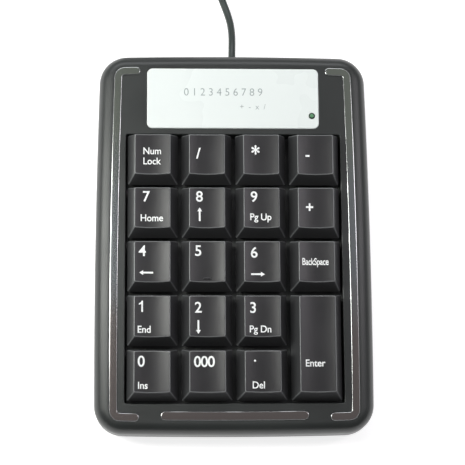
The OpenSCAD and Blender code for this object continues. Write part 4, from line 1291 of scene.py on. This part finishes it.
class KEYPAD_OT_fixings(bpy.types.Operator):
    """Sets the feet and all the screws"""

    bl_idname = "keypad.fixings"
    bl_label = "Feet and screws"

    def execute(self, context):
        rubber = foot_rubber(srgb("#161717"))
        profile = [(0, 0.25), (1.2, 0.25), (3.4, 0.22), (3.9, 0.05), (4.2, 0.0), (4.5, 0.02), (4.8, 0.25),
                   (5.0, 0.7),
                   (5.0, 1.9), (4.9, 2.0), (0, 2.0)]
        foot = lathe(profile, 40).make("foot", rubber)
        feet = repeat("feet", foot, [on_table(x, y, 0) for x, y in FEET], rubber, turn=6.28)
        place_piece(feet, "foot_rubber", "case", "rubber_feet")
        steel = plain_metal("zinc_plated_steel", srgb("#9fa2a4"), 0.3, 0.3)
        big = screw(5.0, 1.5, 2.4, 9.0, steel)
        made = repeat("case_screw_set", big, [on_table(x, y, 1.9) for x, y in POSTS], steel, turn=1.6, seed=3)
        place_piece(made, "screw_steel", "case", "case_screws")
        spots = [(x, KEY_Y0 + row * PITCH) for x in (-PITCH, PITCH) for row in DECK_POST_ROWS]
        small = screw(4.0, 1.3, 1.9, 3.8, steel)
        made = repeat("plate_screw_set", small, [on_deck(x, y, -11.45) for x, y in spots], steel, LEAN, 1.6,
                      5)
        place_piece(made, "screw_steel", "case", "plate_screws")
        small = screw(4.0, 1.3, 1.9, 6.0, steel)
        spots = [(-26, 66), (26, 66), (-22.5, 53.9), (22.5, 53.9)]
        made = repeat("board_screw_set", small, [on_deck(x, y, -12.25) for x, y in spots], steel, LEAN, 1.6,
                      9)
        place_piece(made, "screw_steel", "case", "board_screws")
        return {"FINISHED"}


class KEYPAD_OT_trim(bpy.types.Operator):
    """Lays the bright strips in their grooves"""

    bl_idname = "keypad.trim"
    bl_label = "Bright trim"

    def execute(self, context):
        col = colours()
        # The last colour is the painted highlight on the strips' rounded edges.
        chrome = trim_chrome(col.trim_reflection_rear, col.trim_reflection_middle, col.trim_reflection_front, srgb("#d2d4d4"))
        self.lay("left_strip", trim_path(), 1.425, chrome, "left_trim")
        self.lay("right_strip", flipped(trim_path()), 1.425, chrome, "right_trim")
        self.lay("front_bar", bar_path(), 1.55, chrome, "front_trim")
        return {"FINISHED"}

    def lay(self, name, path, half, material, node):
        top = BEZEL_Z + mm(sizes().trim_rise)
        edge = 0.3
        skin = Skin()
        steps = [(0.0, 0.72), (half * 0.5, 0.72), (half, 0.72), (half, top - edge - 0.1)]
        for i in range(6):
            a = math.pi / 2 * i / 5
            steps.append((half - edge * (1 - math.cos(a)), top - edge * (1 - math.sin(a))))
        steps += [(half - edge - 0.06, top + 0.001), (half * 0.35, top + 0.008), (0.0, top + 0.01)]
        rings = skin.strip([loop_at(ribbon(path, h), 0, z) for h, z in steps])
        # Painted highlight: the rounded edge rings of the strip get the pale edge colour.
        skin.painted_light = {n: 0.9 for ring in rings[5:9] for n in ring}
        made = skin.make(name, material, 40)
        place_piece(made, "chrome", "case", node)


class KEYPAD_OT_plate(bpy.types.Operator):
    """Builds the label plate with its faint print and the window of the light"""

    bl_idname = "keypad.plate"
    bl_label = "Label plate"

    def execute(self, context):
        col = colours()
        w, d, y = PLATE
        shape = rounded(-w / 2, y - d / 2, w / 2, y + d / 2, 2.0, 12, 8)
        skin = Skin()
        hole = circle(*LED, 1.15, 32)
        steps = [(0.0, 0.52), (0.0, 1.3), (-0.06, 1.47), (-0.2, 1.57), (-0.38, 1.6), (-0.5, 1.6)]
        rings = skin.strip([loop_at(shape, out, z) for out, z in steps])
        bore = skin.strip([loop_at(hole, out, z) for out,
                           z in ((0.2, 1.6), (0.12, 1.6), (0.04, 1.56), (0.0, 1.48), (0, 0.52))])
        skin.sheet(rings[-1], [bore[0]], deck_plan)
        skin.sheet(rings[0], [bore[-1]], deck_plan, up=False)
        made = skin.make("pearl_plate", plate_acrylic(col.plate), 35)
        place_piece(made, "plate_plastic", "case", "label_plate")
        ink = plate_ink(col.plate_print)
        flat = lambda x, y, z: on_deck(x, y, 1.6 + z * 0.5)
        prints = []
        for words, x, y, height, spacing in (("0 1 2 3 4 5 6 7 8 9", -17.5, 61.2, 2.9, 1.0),
                                             ("+ - x /", 2.5, 56.2, 2.1, 1.3)):
            mesh = text_mesh(words, height, 0.95, -0.005, spacing)
            for v in mesh.vertices:
                v.co += Vector((x, y, 0))
            prints.append(mesh)
        made = print_on(prints, "plate_print", flat, ink, 0.02)
        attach(made, "case")
        lens = Skin()
        profile = [(1.7, -1.2), (1.7, -0.72), (1.12, -0.7), (1.12, 1.5), (1.08, 1.66), (0.95, 1.78),
                   (0.7, 1.88), (0.35, 1.93)]
        rings = lens.strip([loop_at(circle(*LED, r, 32), 0, z) for r, z in profile])
        lens.fan(rings[0], on_deck(*LED, -1.2), up=False)
        lens.fan(rings[-1], on_deck(*LED, 1.95))
        made = lens.make("light_lens", lens_acrylic(srgb("#17281c"), srgb("#5d8f68")), 50)
        place_piece(made, "window_plastic", "case", "status_window")
        return {"FINISHED"}


class KEYPAD_OT_keys(bpy.types.Operator):
    """Builds the nineteen keycaps and prints their legends"""

    bl_idname = "keypad.keys"
    bl_label = "Keys"

    def execute(self, context):
        size, col = sizes(), colours()
        depth = mm(size.key_dish)
        plastic, ink = key_abs(col.keys, col.key_edge_highlight), legend_ink(col.legend)
        for name, column, row, rows, prints in KEYS:
            cap = keycap(name, column, row, rows, mm(size.key_edge), depth, plastic)
            place_piece(cap, "key_plastic", name + "_cap", name)
            x0, y0 = key_centre(column, row, rows)
            surface = lambda x, y, z: on_deck(x0 + x, y0 + y, dish(x, depth) + z)
            made = print_on([self.glyphs(*p) for p in prints], name + "_legend", surface, ink)
            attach(made, name + "_cap")
        return {"FINISHED"}

    def glyphs(self, words, x, y, kind):
        digit, word = mm(sizes().digit), mm(sizes().word)
        if kind == "arrow":
            mesh = bpy.data.meshes.new("arrow")
            plan = arrow(words)
            mesh.from_pydata([(px, py, 0) for px, py in plan], [], [tuple(range(len(plan)))])
        elif words == "1":
            mesh = bpy.data.meshes.new("one")
            mesh.from_pydata([(px * digit, py * digit, 0) for px, py in ONE], [], [tuple(range(len(ONE)))])
        elif kind == "digit":
            mesh = text_mesh(words, digit, 0.98, 0.014, 0.92)
        elif kind == "mark":
            mesh = text_mesh(words, digit, 0.95, 0.02)
        elif kind == "star":
            mesh = text_mesh(words, digit * 1.35, 0.95, 0.016)
        elif kind == "tight":
            mesh = text_mesh(words, word, 0.68, 0.014, 0.95)
        else:
            mesh = text_mesh(words, word, 0.94, 0.012, 0.98)
        for v in mesh.vertices:
            v.co += Vector((x, y, 0))
        return mesh


class KEYPAD_OT_domes(bpy.types.Operator):
    """Finishes the rubber sheet, with a dome under each stem"""

    bl_idname = "keypad.domes"
    bl_label = "Domes"

    def execute(self, context):
        silicone = plain_plastic("silicone_rubber_pale", srgb("#d8d4c8"), 0.6, 0.4)
        base, thick, neck, top = -8.9, 0.5, -6.6, -3.3
        sheet = Skin()
        shapes = [rounded(-39.2, -49.4, 39.2, 48.2, 0.3, 3)]
        shapes += [circle(*key_centre(*key[1:4]), DOME_R + 0.02) for key in KEYS]
        shapes += [circle(x, KEY_Y0 + row * PITCH, 2.4, 20) for x in (-PITCH, PITCH)
                   for row in DECK_POST_ROWS]
        levels = [sheet.strip([loop_at(shape, 0, z) for z in (base, base + thick)]) for shape in shapes]
        for level, upward in ((0, False), (1, True)):
            sheet.sheet(levels[0][level], [rings[level] for rings in levels[1:]], deck_plan, up=upward)
        place_piece(sheet.make("dome_sheet_flat", silicone, 30), "silicone", "case", "dome_sheet")
        for name, *where, _ in KEYS:
            x, y = key_centre(*where)
            skin = Skin()
            rings = skin.strip([loop_at(circle(x, y, r), 0, z) for r, z in (
                (1.6, neck), (2.2, neck - 0.4), (4.3, base), (DOME_R, base), (DOME_R, base + thick),
                (4.5, base + 0.95),
                (3.2, neck - 0.4), (2.8, neck), (2.5, neck + 0.4), (2.4, top - 0.1), (2.3, top))])
            skin.fan(rings[0], on_deck(x, y, neck), up=False)
            skin.fan(rings[-1], on_deck(x, y, top))
            dome = place_piece(skin.make(name.replace("key", "dome", 1), silicone, 40), "silicone", "case",
                               "dome_sheet")
            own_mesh(dome)
        return {"FINISHED"}


class KEYPAD_OT_inner_parts(bpy.types.Operator):
    """Finishes the parts inside the case and the plug's metal"""

    bl_idname = "keypad.inner_parts"
    bl_label = "Inner parts"

    def execute(self, context):
        film = plain_plastic("polyester_film_clear", srgb("#c4d0cb"), 0.2, 0.5)
        plated = plain_metal("nickel_plated_steel", srgb("#c9cbcc"), 0.24, 0.2)
        finishes = {
            "upper_membrane": film, "membrane_spacer": film, "lower_membrane": film,
            "backing_plate": plain_metal("rolled_steel_sheet", srgb("#8f9294"), 0.38, 0.1),
            "enter_stabiliser": plain_metal("drawn_steel_wire", srgb("#b4b6b8"), 0.25, 0.1),
            "controller_board": plain_plastic("glass_epoxy_green_mask", srgb("#1f6b3f"), 0.35, 0.6),
            "controller_chip": plain_plastic("cast_epoxy_black", srgb("#101010"), 0.3, 0.7),
            "crystal": plated, "plug_shell": plated,
            "capacitor": plain_plastic("shrunk_sleeve_blue", srgb("#26304f"), 0.35, 0.8),
            "wire_header": plain_plastic("nylon_natural", srgb("#dcd8c8"), 0.45, 0.9),
            "status_led": plain_plastic("tinted_epoxy_green", srgb("#79b08a"), 0.15, 1.0),
            "pressure_strip": plain_plastic("foam_rubber_grey", srgb("#333435"), 0.85, 1.1),
            "lead_wires": plain_plastic("wire_insulation_red", srgb("#a83a28"), 0.4, 1.2),
            "plug_tongue": plain_plastic("nylon_tongue_white", srgb("#e6e6e2"), 0.4, 1.3),
            "plug_contacts": plain_metal("gold_flashed_brass", srgb("#cfa95a"), 0.22, 0.3),
        }
        for node, material in finishes.items():
            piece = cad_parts[node]
            for face_slot in piece.material_slots:
                face_slot.material = material
            piece.data.shade_smooth()
            piece.data.set_sharp_from_angle(angle=math.radians(25))
        return {"FINISHED"}


class KEYPAD_PT_panel(bpy.types.Panel):
    """Lists the keypad's pieces and settings"""

    bl_idname = "KEYPAD_PT_panel"
    bl_label = "Keypad"
    bl_space_type = "VIEW_3D"
    bl_region_type = "UI"
    bl_category = "Keypad"

    def draw(self, context):
        for step in STEPS:
            self.layout.operator(step.bl_idname)
        for group in (context.scene.keypad_sizes, context.scene.keypad_colours):
            box = self.layout.box()
            for name in group.__annotations__:
                box.prop(group, name)


STEPS = (KEYPAD_OT_stage, KEYPAD_OT_lead, KEYPAD_OT_top_case, KEYPAD_OT_bottom_case, KEYPAD_OT_fixings,
         KEYPAD_OT_trim, KEYPAD_OT_plate, KEYPAD_OT_keys, KEYPAD_OT_domes, KEYPAD_OT_inner_parts)
CLASSES = (KeypadSizes, KeypadColours, *STEPS, KEYPAD_PT_panel)


def register():
    for cls in CLASSES:
        bpy.utils.register_class(cls)
    bpy.types.Scene.keypad_sizes = PointerProperty(type=KeypadSizes)
    bpy.types.Scene.keypad_colours = PointerProperty(type=KeypadColours)


def unregister():
    del bpy.types.Scene.keypad_colours
    del bpy.types.Scene.keypad_sizes
    for cls in reversed(CLASSES):
        bpy.utils.unregister_class(cls)


def main():
    register()
    bpy.ops.keypad.stage()
    bpy.ops.keypad.lead()
    bpy.ops.keypad.top_case()
    bpy.ops.keypad.bottom_case()
    bpy.ops.keypad.fixings()
    bpy.ops.keypad.trim()
    bpy.ops.keypad.plate()
    bpy.ops.keypad.keys()
    bpy.ops.keypad.domes()
    bpy.ops.keypad.inner_parts()
    bpy.context.view_layer.update()


if __name__ == "__main__":
    main()
